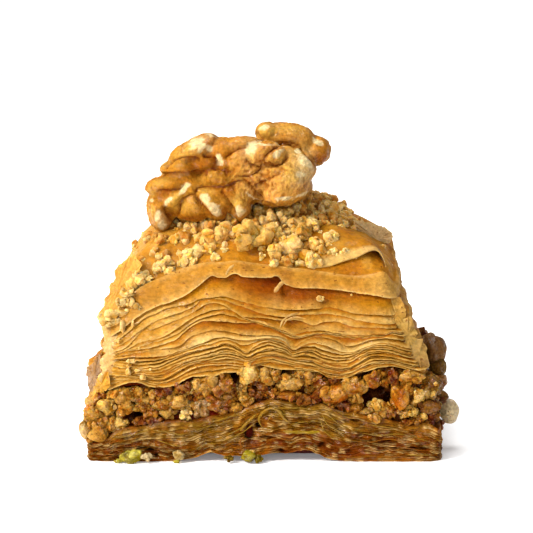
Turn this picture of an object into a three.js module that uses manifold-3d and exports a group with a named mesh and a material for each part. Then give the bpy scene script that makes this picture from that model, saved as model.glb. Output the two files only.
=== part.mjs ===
// A piece of walnut baklava: a soaked lower stack of pastry sheets, a chopped walnut filling, a tall domed
// upper stack of thin sheets, a heap of chopped walnuts on top, and one walnut half resting on the heap.
// Millimetres, +Z up, the cut front face towards -Y. The origin is under the middle of the piece, on the table.
import * as THREE from "three";
import { ConvexGeometry } from "three/addons/geometries/ConvexGeometry.js";
import { mergeVertices } from "three/addons/utils/BufferGeometryUtils.js";
import Module from "manifold-3d";

const wasm = await Module();
wasm.setup();

// ---------------------------------------------------------------- driving dimensions

const GAP = 0.3; // clearance between pieces that rest on each other
const ROUND = 72; // points round a layer

// Footprints seen from above: where the four cut sides lie, and how square the corners are (2 is an ellipse).
const BASE = { left: -30.5, right: 29.9, front: -25, back: 25, square: 26 };
const UPPER_FOOT = { left: -28, right: 27.9, front: -24.4, back: 24.6, square: 20 };
const UPPER_CROWN = { left: -27.4, right: 22.4, front: -18.9, back: 19.6, square: 12 };
const CROWN_BULGE = 0.8; // the top sheets belly out this far past the left side, half way back
const LEAN = { frontAndBack: 1.3, sides: 0.65 }; // above 1, a wall leans in mostly near the crown

// Heights of the layers' edges along the cut front face, as x and z through which a smooth line runs.
const FRONT = {
  base: [[-30, 3.2], [-26, 4.3], [-22, 6], [-18, 7.4], [-12, 8.7], [-5, 10.2], [3, 9.9], [10, 7.8], [20, 7],
    [30, 5.8]],
  foot: [[-29, 11], [-24, 12.4], [-17, 12.6], [-9, 14.3], [-1, 16], [6, 15.3], [12, 13.8], [20, 15.9],
    [28, 14.2]],
  crown: [[-28, 20.6], [-22, 25.2], [-16, 29], [-9, 32], [-2, 32.4], [6, 30.8], [13, 29.8], [19, 30.8],
    [23, 29.8]],
};
const BACK = {
  base: [[-30, 6.4], [-14, 8.2], [0, 7.4], [15, 8.4], [30, 6.6]],
  foot: [[-29, 12.6], [-15, 14.6], [0, 13.9], [13, 15.2], [28, 13.4]],
  crown: [[-28, 21.5], [-21, 26.5], [-12, 31.5], [0, 34], [12, 34], [23, 32.6]],
};
const BASE_MIDDLE = 8.4; // height of the lower stack in its middle
const FOOT_MIDDLE = 15.2; // height of the upper stack's underside in its middle
const CROWN_MIDDLE = 38.4; // height of the dome
const DOME = { power: 2.5, later: 0.14 }; // the fall from the middle: its power, and its growth per mm of drop

// Local waves of the upper stack's sheets on the front: each lifts the edges near x and near level `at`.
const WAVES = [
  { x: -8.8, width: 3.4, rise: 1.4, at: 0.62, reach: 0.26 },
  { x: -2.2, width: 2.6, rise: -0.6, at: 0.5, reach: 0.2 },
  { x: 9, width: 3.2, rise: 0.9, at: 0.33, reach: 0.16 },
  { x: 19, width: 4, rise: 0.5, at: 0.12, reach: 0.12 },
];
const SIDE_WAVE = { rise: 0.45, length: 3.3 }; // along the left and right sides

// Levels of the sheet bundles that stand out of the upper stack's sides: 0 is its foot and 1 its crown.
const BUNDLES = [0, 0.08, 0.17, 0.26, 0.36, 0.47, 0.6, 0.9, 1];
const BUNDLE_LIP = 0.6; // how far a bundle's lower edge stands out past the one below it
const LIP_DROP = 0.25; // and how far it hangs over it
const CROWN_LIP = 0.15; // the top sheet's edge stands this far above its level
const BASE_BUNDLES = [0, 0.24, 0.5, 0.76, 1];
const BASE_LIP = 0.45;
const BASE_LIP_LEVEL = 0.02; // the lower stack's lips sit this far above their level
const ARCH = { x: 6.2, width: 2.2, rise: 2.1 }; // where the lowest front sheets lift off the table
const LIFT = { from: -12, to: 9, ease: 3, rise: 1 }; // and the shallow lift around it
const LIFT_DEPTH = 2; // the lift fades this far in from the front

// Rings of points, as shares of the way out to a footprint's edge. Facing surfaces share their rings.
const BASE_UNDER_RINGS = [0.4, 0.93];
const BASE_TOP_RINGS = [0.5, 0.93];
const FOOT_RINGS = [0.45, 0.95];
const CROWN_RINGS = [0.28, 0.55, 0.78, 0.93];

// The walnut half's lobes: centre from the half's own middle, radii, and turn about Y in degrees.
const WALNUT_AT = { x: -5, y: -8, z: 46.5 };
const LOBES = [
  [-0.9, 0.6, -0.6, 10.7, 5, 4.2, -12], // body
  [-8.2, 0.2, 4.1, 4.6, 4.2, 2.2, -27], // upper left fold
  [-8, -0.9, 1.8, 5, 3.6, 1.6, -8], // second left fold
  [-11.7, -0.6, -1.5, 4.1, 4, 2.1, -6], // third left fold
  [-13.1, -0.4, -5.7, 2.6, 4.4, 4, 4], // lower left lobe
  [-10.1, -2.2, -4.7, 1.9, 3.2, 3.6, 22], // front fold
  [-7.6, -2.4, -5.2, 2.9, 3, 2.3, -10], // its right side
  [-4, -3.4, -4.6, 2.3, 3.2, 3.4, -18], // front knob
  [-4, -2.4, -0.2, 3.4, 3.2, 1.8, -8], // ridge over the front knob
  [0.5, -3.2, -4.9, 2, 3.2, 2.5, 0], // small front knob
  [1.5, -0.4, -0.1, 6.2, 4.2, 4.9, -14], // middle
  [8, -0.6, 0.1, 5.5, 5.2, 5.4, 8], // right lobe
  [6.6, -1.6, -3.6, 4.8, 3.8, 1.9, -8], // underside of the right lobe
  [3.9, -3.4, 4.3, 2.4, 2.8, 2, -10], // pale knob beside the cleft
  [7.5, -3.2, 3.7, 3.1, 2.6, 1.6, -18], // ridge beside it
  [-0.2, 1.4, 3.8, 5.6, 4.2, 2.6, -10], // saddle
  [-4.4, 0.6, 5.7, 2.1, 2.4, 1.7, 10], // upper left tip
  [8.2, 5.6, 5.9, 5, 4.4, 2.6, -2], // back lobe
  [13.8, 5, 3.1, 2.5, 4, 2.6, 0], // its right end
  [-9.4, 4.6, -2.4, 4.4, 4.6, 3.6, -30], // back of the half, lower left
  [-5.8, 5.4, 1.8, 5, 4.8, 3, -20], // back of the half, upper left
  [-1.8, 6.2, -3.4, 5, 4.6, 3.4, 14], // back of the half, middle below
  [2.2, 6.6, 0.8, 5.2, 4.6, 3.6, -24], // back of the half, middle above
  [8.2, 5.6, -1.2, 5, 4.8, 4.4, 10], // back of the half, right
];
const LOBE_DETAIL = 1; // subdivisions of a lobe's icosahedron
const LOBE_MERGE = 0.07; // facets flatter than this are merged

// Chopped walnut of the cut face, placed by hand: x, z, and half-sizes x, z.
const FACE_PIECES = [
  [-29.5, 5.6, 2.5, 1.8], [-29.8, 8.8, 1.9, 2.2], [-26, 7.2, 2.2, 1.7], [-27.4, 10, 1.9, 1.5],
  [-24.4, 9.8, 2.3, 2], [-21.4, 10.4, 2.2, 2], [-19.4, 9.2, 1.5, 1.3], [-16, 10, 2.2, 1.8],
  [-12.9, 10.3, 1.7, 1.8], [-10.2, 12.8, 2.1, 1.4], [-9.4, 10.5, 1.9, 1.5], [-6.4, 13.8, 1.6, 1.4],
  [-4.8, 11.8, 2.3, 1.4], [-2.6, 14.5, 1.9, 1.8], [0.9, 12, 3, 1.5], [0.6, 14.2, 1.7, 1.5],
  [5.4, 11.7, 2.6, 1.7], [5.1, 13.7, 2.6, 1.6], [8.6, 13.4, 1.6, 1.4], [9.2, 10.6, 1.8, 1.6],
  [13, 11.3, 3.5, 2.6], [18.4, 13.9, 1.9, 1.5], [18.6, 9.2, 2.7, 1.4], [22.6, 11.3, 2.1, 2.6],
  [25.4, 11.9, 1.3, 1.4], [24, 8.9, 2.8, 1.8], [27.4, 12.6, 1.8, 2.1], [28.4, 9.4, 1.7, 1.9],
];
const FACE_DEPTH = { middle: -22.7, half: 1.9, scatter: 0.8 };
// The largest pieces that stand out at the two sides: x, y, z and half-size.
const SIDE_LUMPS = [
  [28.8, -6, 12, 2.2], [29.2, -7, 15.4, 2.2], [28.9, 4, 14.2, 2.1], [30.6, -5, 8, 2], [28.9, 14, 12, 2.4],
  [-29.6, 0, 12.2, 2], [-30, 2, 9.4, 2], [-30, -12, 9, 2], [-29.8, 10, 10.4, 2],
];
// The pieces round the other three sides: half-sizes between two values, and how deep their middles lie.
const SIDE_PIECES = { count: 36, half: [1.6, 2.5], depth: 1.2, scatter: 1.1 };

// The heap on the crown: its outline, the height of its core in the middle and at the edge, and its pieces.
const HEAP = { x: -2, y: -0.5, halfX: 17, halfY: 15.5, rise: 3, edge: 0.5, ragged: 0.12, round: 36 };
const HEAP_PIECES = { count: 44, half: [1.1, 1.9] };
const HEAP_PEAK = { x: 9.5, y: 3, reach: 7, rise: 1.7 }; // a mound on the heap, beside the walnut half

// Crumbs scattered on the top sheet: x, y and half-size.
const CRUMBS = [
  [-17.4, -13, 1.7], [-14.7, -13.8, 1.3], [-12.3, -13.4, 1.5], [-20, -12.8, 1.4], [-21.9, -12.2, 1.6],
  [-23.8, -12.4, 1.4], [-25.3, -10.6, 1.5], [-26.4, -7, 1.3], [-26.7, -13, 1.2], [-24.6, -4, 1.4],
  [-26.4, -0.6, 1.2], [-8.6, -15.6, 1.1], [-3.6, -16.6, 1.2], [1, -17, 1.4], [4.8, -16.6, 1.5],
  [8.2, -16, 1.3], [16, -10.4, 1.1], [19, -8, 1], [-20.4, 6, 1.1],
];

// The loose front end of the top sheet, right of the heap: it lifts off the sheet below and its end curls down.
// Its edge runs through `front`, as x and y.
const FLAP = {
  left: 5.5, right: 21.8, back: 6, thick: 0.7, sunk: 0.25, lift: 1.5, curl: 1.3, curlFrom: 0.8,
  front: [[5.5, -18.4], [9, -18], [13, -16], [17, -13.4], [19.5, -12.6], [21.8, -14.6]],
  stepsX: 8, stepsY: 4,
};

// Where each family of random draws starts, so that no two share their numbers.
const SEED = {
  baseLip: 0, baseNeck: 20, upperLip: 40, upperNeck: 60, crown: 90, rim: 130, crumb: 200, face: 300, lump: 350,
  sideDepth: 400, sideHalf: 430, sideHeight: 460, side: 500, heapHalf: 600, heap: 700,
};

// ---------------------------------------------------------------- shared arithmetic

const lerp = (a, b, w) => a + (b - a) * w;
const clamp = (v, low, high) => Math.min(high, Math.max(low, v));
const bell = (v) => Math.exp(-v * v);

// The same draw from 0 to 1 for the same number.
function draw(n) {
  const v = Math.sin(n * 12.9898 + 4.1414) * 43758.5453;
  return v - Math.floor(v);
}

// A smooth line through [x, z] points, flat past its ends.
function lineThrough(points, x) {
  const last = points.length - 1;
  if (x <= points[0][0]) return points[0][1];
  if (x >= points[last][0]) return points[last][1];
  let i = 0;
  while (x > points[i + 1][0]) i++;
  const slope = (k) => {
    const a = points[Math.max(k - 1, 0)];
    const b = points[Math.min(k + 1, last)];
    return (b[1] - a[1]) / (b[0] - a[0]);
  };
  const [x0, z0] = points[i];
  const [x1, z1] = points[i + 1];
  const h = x1 - x0;
  const w = (x - x0) / h;
  return (
    z0 * (1 + 2 * w) * (1 - w) ** 2 + slope(i) * h * w * (1 - w) ** 2 +
    z1 * w * w * (3 - 2 * w) + slope(i + 1) * h * w * w * (w - 1)
  );
}

// ---------------------------------------------------------------- the layers' surfaces

// How far (x, y) lies from a footprint's middle towards its edge, as 0 to 1, and the edge point beyond it.
function towardsEdge(foot, x, y) {
  const middleX = (foot.left + foot.right) / 2;
  const middleY = (foot.front + foot.back) / 2;
  const u = (x - middleX) / ((foot.right - foot.left) / 2);
  const v = (y - middleY) / ((foot.back - foot.front) / 2);
  const share = Math.max((Math.abs(u) ** foot.square + Math.abs(v) ** foot.square) ** (1 / foot.square), 1e-6);
  return { share, x: middleX + (x - middleX) / share, y: middleY + (y - middleY) / share };
}

// The upper stack's footprint at a level from 0, its foot, to 1, its crown.
function upperFoot(level) {
  const foot = {};
  const towards = (side, lean) => lerp(UPPER_FOOT[side], UPPER_CROWN[side], level ** lean);
  for (const side of ["left", "right", "square"]) foot[side] = towards(side, LEAN.sides);
  for (const side of ["front", "back"]) foot[side] = towards(side, LEAN.frontAndBack);
  return foot;
}

const backwards = (y) => {
  const w = clamp((y - BASE.front) / (BASE.back - BASE.front), 0, 1);
  return w * w * (3 - 2 * w);
};
const edgeHeight = (name, x, y) => lerp(lineThrough(FRONT[name], x), lineThrough(BACK[name], x), backwards(y));

// Height of the upper stack's side at a level, over the edge point (x, y).
function upperEdge(level, x, y) {
  const front = 1 - backwards(y);
  let z = lerp(edgeHeight("foot", x, y), edgeHeight("crown", x, y), level);
  for (const wave of WAVES) {
    // the back's waves mirror the front's
    const lift = wave.rise * bell((level - wave.at) / wave.reach);
    z += lift * (front * bell((x - wave.x) / wave.width) + (1 - front) * bell((x + wave.x) / wave.width));
  }
  const side = 4 * front * (1 - front);
  return z + side * SIDE_WAVE.rise * Math.sin(y / SIDE_WAVE.length + 4 * level) * Math.sin(Math.PI * level);
}

// A dome from its middle's height down to its edge's: the larger the drop, the later it comes.
function dome(middle, edge, share) {
  const drop = middle - edge;
  return edge + drop * (1 - Math.min(share, 1) ** (DOME.power + DOME.later * Math.max(drop, 0)));
}

function upperSurface(level, x, y) {
  const at = towardsEdge(upperFoot(level), x, y);
  return dome(lerp(FOOT_MIDDLE, CROWN_MIDDLE, level), upperEdge(level, at.x, at.y), at.share);
}

function baseSurface(x, y) {
  const at = towardsEdge(BASE, x, y);
  return dome(BASE_MIDDLE, edgeHeight("base", at.x, at.y), at.share);
}

// ---------------------------------------------------------------- solids

// Directions from a footprint's middle, spread evenly round a square.
function squareRound(count) {
  return Array.from({ length: count }, (_, i) => {
    const along = (4 * i) / count;
    const w = 2 * (along % 1) - 1;
    return [[w, -1], [1, w], [-w, 1], [-1, -w]][Math.floor(along)];
  });
}

// The ring of points at a share of the way to a footprint's edge, moved out by `out` there.
function ring(foot, count, share, out, height) {
  const middleX = (foot.left + foot.right) / 2;
  const middleY = (foot.front + foot.back) / 2;
  return squareRound(count).map(([a, b], i) => {
    const size = (Math.abs(a) ** foot.square + Math.abs(b) ** foot.square) ** (1 / foot.square);
    const reachX = ((a / size) * (foot.right - foot.left)) / 2;
    const reachY = ((b / size) * (foot.back - foot.front)) / 2;
    const edgeX = middleX + reachX;
    const edgeY = middleY + reachY;
    const reach = share * (1 + out(i, edgeX, edgeY) / Math.hypot(reachX, reachY));
    const x = middleX + reachX * reach;
    const y = middleY + reachY * reach;
    return [x, y, height(x, y, edgeX, edgeY)];
  });
}

// A closed solid through rings that run from its underside's middle, up its side, to its top's middle.
function ringSolid(rings) {
  const count = rings[0].length;
  const middle = (points) => points.reduce((sum, p) => sum.map((v, k) => v + p[k] / count), [0, 0, 0]);
  const points = [middle(rings[0]), ...rings.flat(), middle(rings[rings.length - 1])];
  const at = (k, i) => 1 + k * count + (i % count);
  const faces = [];
  for (let i = 0; i < count; i++) {
    faces.push(0, at(0, i + 1), at(0, i));
    for (let k = 0; k + 1 < rings.length; k++) {
      faces.push(at(k, i), at(k, i + 1), at(k + 1, i + 1), at(k, i), at(k + 1, i + 1), at(k + 1, i));
    }
    faces.push(points.length - 1, at(rings.length - 1, i), at(rings.length - 1, i + 1));
  }
  const geometry = new THREE.BufferGeometry();
  geometry.setAttribute("position", new THREE.Float32BufferAttribute(points.flat(), 3));
  geometry.setIndex(faces);
  return geometry;
}

const WELD = 1e-4; // vertices closer than this are one
const MERGE = 0.02; // detail smaller than this is merged away

function toSolid(geometry) {
  const bare = new THREE.BufferGeometry();
  bare.setAttribute("position", geometry.getAttribute("position"));
  bare.setIndex(geometry.index);
  const merged = mergeVertices(bare, WELD);
  const vertProperties = merged.attributes.position.array;
  const triVerts = new Uint32Array(merged.index.array);
  return new wasm.Manifold(new wasm.Mesh({ numProp: 3, vertProperties, triVerts }));
}

// The largest body of a solid, as a geometry: a loose scrap of a cut is dropped.
function toGeometry(solid) {
  const [largest] = solid.decompose().sort((a, b) => b.volume() - a.volume());
  const { vertProperties, triVerts } = largest.simplify(MERGE).getMesh();
  const geometry = new THREE.BufferGeometry();
  geometry.setAttribute("position", new THREE.BufferAttribute(new Float32Array(vertProperties), 3));
  geometry.setIndex(new THREE.BufferAttribute(new Uint32Array(triVerts), 1));
  return geometry;
}

const TOUCH = 1e-6; // a common volume under this, in mm3, counts as none
const SHRINK = 0.85;
const SMALLEST = 0.4; // a piece shrunk below this share of its size is left out
const PIECE_CORNERS = 9;
const PIECE_REACH = [0.9, 1.2]; // how far a corner lies from the middle, as shares of the half-size
const GOLDEN_ANGLE = 2.39996;

// A piece of chopped walnut: a hull of corners spread over an ellipsoid, drawn from its seed.
function nutPiece(seed, centre, half, keepIn) {
  const turn = new THREE.Euler(...[0.1, 0.2, 0.3].map((k) => 2 * Math.PI * draw(seed + k)));
  const corners = Array.from({ length: PIECE_CORNERS }, (_, i) => {
    const z = 1 - (2 * i + 1) / PIECE_CORNERS;
    const round = Math.sqrt(1 - z * z);
    const angle = GOLDEN_ANGLE * i + seed;
    const reach = lerp(...PIECE_REACH, draw(seed + 0.7 * i));
    const corner = new THREE.Vector3(round * Math.cos(angle), round * Math.sin(angle), z);
    return keepIn(corner.multiplyScalar(reach).applyEuler(turn).multiply(half).add(centre));
  });
  return toSolid(new ConvexGeometry(corners));
}

// Adds a piece to a solid, as large as fits clear of the neighbours.
function addPiece(solid, seed, centre, half, keepIn, neighbours) {
  for (let size = 1; size > SMALLEST; size *= SHRINK) {
    const piece = nutPiece(seed, centre, half.clone().multiplyScalar(size), keepIn);
    if (neighbours.every((other) => piece.intersect(other).volume() < TOUCH)) return solid.add(piece);
  }
  return solid;
}

// ---------------------------------------------------------------- the nodes

const none = () => 0;
const wobble = (seed, reach) => (i) => reach * (draw(seed + i * 1.37) - 0.5);
const raised = (points, rise) => points.map(([x, y, z]) => [x, y, z + rise]);
const baseTop = (share) => ring(BASE, ROUND, share, none, baseSurface);
const upperRing = (level, share) =>
  ring(upperFoot(level), ROUND, share, none, (x, y) => upperSurface(level, x, y));

// How far the lowest sheets stand off the table at an edge point.
function underside(edgeX, edgeY) {
  const lift = clamp(Math.min(edgeX - LIFT.from, LIFT.to - edgeX) / LIFT.ease, 0, 1) * LIFT.rise;
  const arch = ARCH.rise * bell((edgeX - ARCH.x) / ARCH.width);
  return bell((edgeY - BASE.front) / LIFT_DEPTH) * Math.max(lift, arch);
}

// The soaked lower stack: a slab whose sides show bundles of sheets.
function bottomStack() {
  const side = (level) => (x, y, edgeX, edgeY) =>
    lerp(underside(edgeX, edgeY), edgeHeight("base", edgeX, edgeY), level);
  const rings = BASE_UNDER_RINGS.map((share) => ring(BASE, ROUND, share, none, none));
  for (let k = 0; k + 1 < BASE_BUNDLES.length; k++) {
    const lipLevel = BASE_BUNDLES[k] + (k ? BASE_LIP_LEVEL : 0);
    const neck = (i) => wobble(SEED.baseNeck + k, BASE_LIP / 2)(i) - BASE_LIP;
    rings.push(ring(BASE, ROUND, 1, wobble(SEED.baseLip + k, BASE_LIP), side(lipLevel)));
    rings.push(ring(BASE, ROUND, 1, neck, side(BASE_BUNDLES[k + 1])));
  }
  return toSolid(ringSolid([...rings, ...BASE_TOP_RINGS.map(baseTop).reverse()]));
}

// How far the upper sheets belly out at an edge point: only along the left side, most half way back.
function belly(level, edgeX, edgeY) {
  const onLeft = edgeX < UPPER_CROWN.left + 5;
  return onLeft ? CROWN_BULGE * level * clamp(1 - (edgeY / UPPER_CROWN.back) ** 2, 0, 1) : 0;
}

// The top sheet's loose front end, as a wedge whose back is buried in the dome.
function flap() {
  const point = (i, j, drop) => {
    const across = i / FLAP.stepsX;
    const along = j / FLAP.stepsY;
    const x = lerp(FLAP.left, FLAP.right, across);
    const y = lerp(FLAP.back, lineThrough(FLAP.front, x), along);
    const lift = FLAP.lift * Math.sin(Math.PI * Math.min(across * 1.15, 1)) ** 0.7;
    const curl = FLAP.curl * clamp((across - FLAP.curlFrom) / (1 - FLAP.curlFrom), 0, 1) ** 2;
    return [x, y, upperSurface(1, x, y) + (lift - curl) * along ** 2 - drop];
  };
  const steps = [...Array(FLAP.stepsY + 1).keys()];
  const section = (_, i) => [
    ...steps.map((j) => point(i, j, FLAP.sunk)),
    ...steps.map((j) => point(i, FLAP.stepsY - j, FLAP.sunk + FLAP.thick)),
  ];
  return toSolid(ringSolid(Array.from({ length: FLAP.stepsX + 1 }, section)));
}

// The tall upper stack: sheets in bundles, each lip hanging over the bundle below, under a domed top sheet.
function topStack() {
  const side = (level, sink) => (x, y, edgeX, edgeY) => upperEdge(level, edgeX, edgeY) - sink;
  const rings = FOOT_RINGS.map((share) => upperRing(0, share));
  for (let k = 0; k + 1 < BUNDLES.length; k++) {
    const low = BUNDLES[k];
    const high = BUNDLES[k + 1];
    const lip = (i, edgeX, edgeY) => wobble(SEED.upperLip + k, BUNDLE_LIP)(i) + belly(low, edgeX, edgeY);
    const dent = wobble(SEED.upperNeck + k, BUNDLE_LIP / 2);
    const neck = (i, edgeX, edgeY) => dent(i) - BUNDLE_LIP + belly(high, edgeX, edgeY);
    rings.push(ring(upperFoot(low), ROUND, 1, lip, side(low, k ? LIP_DROP : 0)));
    rings.push(ring(upperFoot(high), ROUND, 1, neck, side(high, LIP_DROP / 2)));
  }
  const crownLip = (i, edgeX, edgeY) => wobble(SEED.crown, BUNDLE_LIP)(i) + belly(1, edgeX, edgeY);
  rings.push(ring(upperFoot(1), ROUND, 1, crownLip, side(1, -CROWN_LIP)));
  rings.push(...CROWN_RINGS.map((share) => upperRing(1, share)).reverse());
  let solid = toSolid(ringSolid(rings)).add(flap());
  CRUMBS.forEach(([x, y, half], i) => {
    const centre = new THREE.Vector3(x, y, upperSurface(1, x, y) + 0.4 * half);
    const size = new THREE.Vector3(half, half, 0.85 * half);
    solid = addPiece(solid, SEED.crumb + i, centre, size, (corner) => corner, []);
  });
  return solid;
}

// The walnut filling: a core between the stacks, with the pieces that show at its sides fused on.
function walnutFilling(below, above) {
  const floor = BASE_TOP_RINGS.map((share) => raised(baseTop(share), GAP));
  const roof = FOOT_RINGS.map((share) => raised(upperRing(0, share), -GAP)).reverse();
  let solid = toSolid(ringSolid([...floor, ...roof]));
  const margin = 1.3 * GAP;
  const keepIn = (corner) => {
    const outside = towardsEdge(UPPER_FOOT, corner.x, corner.y).share > 1.03;
    const high = outside ? Infinity : upperSurface(0, corner.x, corner.y) - margin;
    corner.z = clamp(corner.z, baseSurface(corner.x, corner.y) + margin, high);
    return corner;
  };
  const neighbours = [below, below.translate(0, 0, GAP / 2), above, above.translate(0, 0, -GAP / 2)];
  const add = (seed, centre, size) => {
    solid = addPiece(solid, seed, centre, size, keepIn, neighbours);
  };
  FACE_PIECES.forEach(([x, z, halfX, halfZ], i) => {
    const depth = FACE_DEPTH.middle - FACE_DEPTH.scatter * draw(SEED.face + i);
    add(SEED.face + i, new THREE.Vector3(x, depth, z), new THREE.Vector3(halfX, FACE_DEPTH.half, halfZ));
  });
  SIDE_LUMPS.forEach(([x, y, z, half], i) => {
    add(SEED.lump + i, new THREE.Vector3(x, y, z), new THREE.Vector3(half, 1.2 * half, half));
  });
  // the right side, the back and the left side are the last three quarters of the ring
  const scatter = (i) => -SIDE_PIECES.depth - SIDE_PIECES.scatter * draw(SEED.sideDepth + i);
  const sides = ring(BASE, (4 * SIDE_PIECES.count) / 3, 1, scatter, none).slice(-SIDE_PIECES.count);
  sides.forEach(([x, y], i) => {
    const half = lerp(...SIDE_PIECES.half, draw(SEED.sideHalf + i));
    const z = lerp(baseSurface(x, y) + half, upperSurface(0, x, y) - half, draw(SEED.sideHeight + i));
    add(SEED.side + i, new THREE.Vector3(x, y, z), new THREE.Vector3(half, half, 0.8 * half));
  });
  return solid;
}

// The walnut half: a union of its lobes, each an ellipsoid.
function walnutSolid(grow) {
  const lobes = LOBES.map(([x, y, z, radiusX, radiusY, radiusZ, turn]) => {
    const lobe = new THREE.IcosahedronGeometry(1, LOBE_DETAIL);
    lobe.scale(radiusX + grow, radiusY + grow, radiusZ + grow);
    lobe.rotateY(THREE.MathUtils.degToRad(turn));
    lobe.translate(WALNUT_AT.x + x, WALNUT_AT.y + y, WALNUT_AT.z + z);
    return toSolid(lobe);
  });
  return wasm.Manifold.union(lobes).simplify(LOBE_MERGE);
}

const heapPeak = (x, y) =>
  HEAP_PEAK.rise * bell((x - HEAP_PEAK.x) / HEAP_PEAK.reach) * bell((y - HEAP_PEAK.y) / HEAP_PEAK.reach);

// The heap of chopped walnuts on the crown: a low core with pieces fused on, cut clear of the walnut half.
function nutTopping(below, above) {
  const everyOther = (points) => points.filter((_, i) => i % (ROUND / HEAP.round) === 0);
  const [inner, middle, outer] = CROWN_RINGS.map((share) => everyOther(upperRing(1, share)));
  const rim = middle.map((point, i) => {
    const reach = 1 / Math.hypot((point[0] - HEAP.x) / HEAP.halfX, (point[1] - HEAP.y) / HEAP.halfY);
    const share = CROWN_RINGS[1] * (reach + HEAP.ragged * draw(SEED.rim + i));
    const w = clamp((share - CROWN_RINGS[1]) / (CROWN_RINGS[2] - CROWN_RINGS[1]), 0.05, 0.98);
    return point.map((v, k) => lerp(v, outer[i][k], w));
  });
  const lift = 1.2 * GAP;
  const floor = [inner, middle, rim].map((points) => raised(points, lift));
  const mound = (points, rise) => points.map(([x, y, z]) => [x, y, z + lift + rise + heapPeak(x, y)]);
  const top = [mound(rim, HEAP.edge), mound(middle, 0.6 * HEAP.rise), mound(inner, HEAP.rise)];
  let solid = toSolid(ringSolid([...floor, ...top])).subtract(above).subtract(below);
  const keepIn = (corner) => {
    corner.z = Math.max(corner.z, upperSurface(1, corner.x, corner.y) + GAP);
    return corner;
  };
  for (let i = 0; i < HEAP_PIECES.count; i++) {
    // spread like a sunflower's seeds
    const share = Math.sqrt((i + 0.5) / HEAP_PIECES.count);
    const angle = GOLDEN_ANGLE * i;
    const x = HEAP.x + HEAP.halfX * share * Math.cos(angle);
    const y = HEAP.y + HEAP.halfY * share * Math.sin(angle);
    const half = lerp(...HEAP_PIECES.half, draw(SEED.heapHalf + i));
    const z = upperSurface(1, x, y) + lift + HEAP.rise * (1 - share ** 2) + heapPeak(x, y) + 0.4 * half;
    const size = new THREE.Vector3(half, half, 0.9 * half);
    solid = addPiece(solid, SEED.heap + i, new THREE.Vector3(x, y, z), size, keepIn, [below, above]);
  }
  return solid;
}

// ---------------------------------------------------------------- materials and assembly

const finish = (color, roughness) => new THREE.MeshStandardMaterial({ color, roughness, metalness: 0 });
const SOAKED_PASTRY = finish(0x8c5d24, 0.3);
const GOLDEN_PASTRY = finish(0xd79a45, 0.4);
const CHOPPED_WALNUT = finish(0xa8763a, 0.5);
const PALE_WALNUT = finish(0xd9ad68, 0.6);
const WALNUT_SKIN = finish(0xb87a35, 0.45);

function piece(name, geometry, material) {
  const mesh = new THREE.Mesh(geometry, material);
  mesh.name = name;
  return mesh;
}

const lower = bottomStack();
const upper = topStack();
const baklava = new THREE.Group();
baklava.add(
  piece("bottom_pastry", toGeometry(lower), SOAKED_PASTRY),
  piece("walnut_filling", toGeometry(walnutFilling(lower, upper)), CHOPPED_WALNUT),
  piece("top_pastry", toGeometry(upper), GOLDEN_PASTRY),
  piece("nut_topping", toGeometry(nutTopping(upper, walnutSolid(GAP))), PALE_WALNUT),
  piece("walnut_half", toGeometry(walnutSolid(0)), WALNUT_SKIN),
);

export default baklava;
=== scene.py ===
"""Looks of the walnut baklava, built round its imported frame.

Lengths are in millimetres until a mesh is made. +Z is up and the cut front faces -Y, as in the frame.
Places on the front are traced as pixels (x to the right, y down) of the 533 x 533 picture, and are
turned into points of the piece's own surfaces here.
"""

import itertools
import math

import bmesh
import bpy
import numpy as np
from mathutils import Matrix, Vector


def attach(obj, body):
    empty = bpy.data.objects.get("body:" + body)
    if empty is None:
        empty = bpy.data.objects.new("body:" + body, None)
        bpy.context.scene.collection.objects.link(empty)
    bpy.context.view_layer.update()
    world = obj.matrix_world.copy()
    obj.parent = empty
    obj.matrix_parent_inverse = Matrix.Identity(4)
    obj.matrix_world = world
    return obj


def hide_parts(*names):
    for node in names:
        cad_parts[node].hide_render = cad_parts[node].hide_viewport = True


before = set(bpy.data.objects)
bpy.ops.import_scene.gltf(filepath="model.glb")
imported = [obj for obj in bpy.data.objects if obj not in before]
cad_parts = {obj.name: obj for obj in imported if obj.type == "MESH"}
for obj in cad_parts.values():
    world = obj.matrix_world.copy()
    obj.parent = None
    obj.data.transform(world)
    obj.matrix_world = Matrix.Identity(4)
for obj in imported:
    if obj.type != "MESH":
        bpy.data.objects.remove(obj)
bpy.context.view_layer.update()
MM = 0.001

# ---------------------------------------------------------------- camera

FRAME_PX = 533
FOCAL_PX = 2700
SENSOR_MM = 36
ELEVATION = math.radians(10)
DISTANCE = 450
AIM = np.array([0, -25, 33.5])
RIGHT = np.array([1.0, 0, 0])
FORWARD = np.array([0, math.cos(ELEVATION), -math.sin(ELEVATION)])
UP = np.array([0, math.sin(ELEVATION), math.cos(ELEVATION)])
EYE = AIM - DISTANCE * FORWARD
PX_PER_MM = 5.95  # at the piece's front
SEARCH_DEPTHS = np.linspace(-26, 24, 500)  # where on_surface looks, from the front to the back


def make_camera():
    data = bpy.data.cameras.new("camera")
    data.sensor_width = SENSOR_MM
    data.lens = SENSOR_MM * FOCAL_PX / FRAME_PX
    data.clip_start, data.clip_end = 0.01, 10
    camera = bpy.data.objects.new("camera", data)
    camera.location = Vector(EYE * MM)
    camera.rotation_euler = (math.pi / 2 - ELEVATION, 0, 0)
    bpy.context.scene.collection.objects.link(camera)
    bpy.context.scene.camera = camera


def at_depth(px, py, y):
    """The point seen at a pixel, at depth y."""
    across = (np.asarray(px, float) - FRAME_PX / 2)[..., None]
    up = (FRAME_PX / 2 - np.asarray(py, float))[..., None]
    way = FOCAL_PX * FORWARD + across * RIGHT + up * UP
    return EYE + way * ((y - EYE[1]) / way[..., 1])[..., None]


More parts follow.
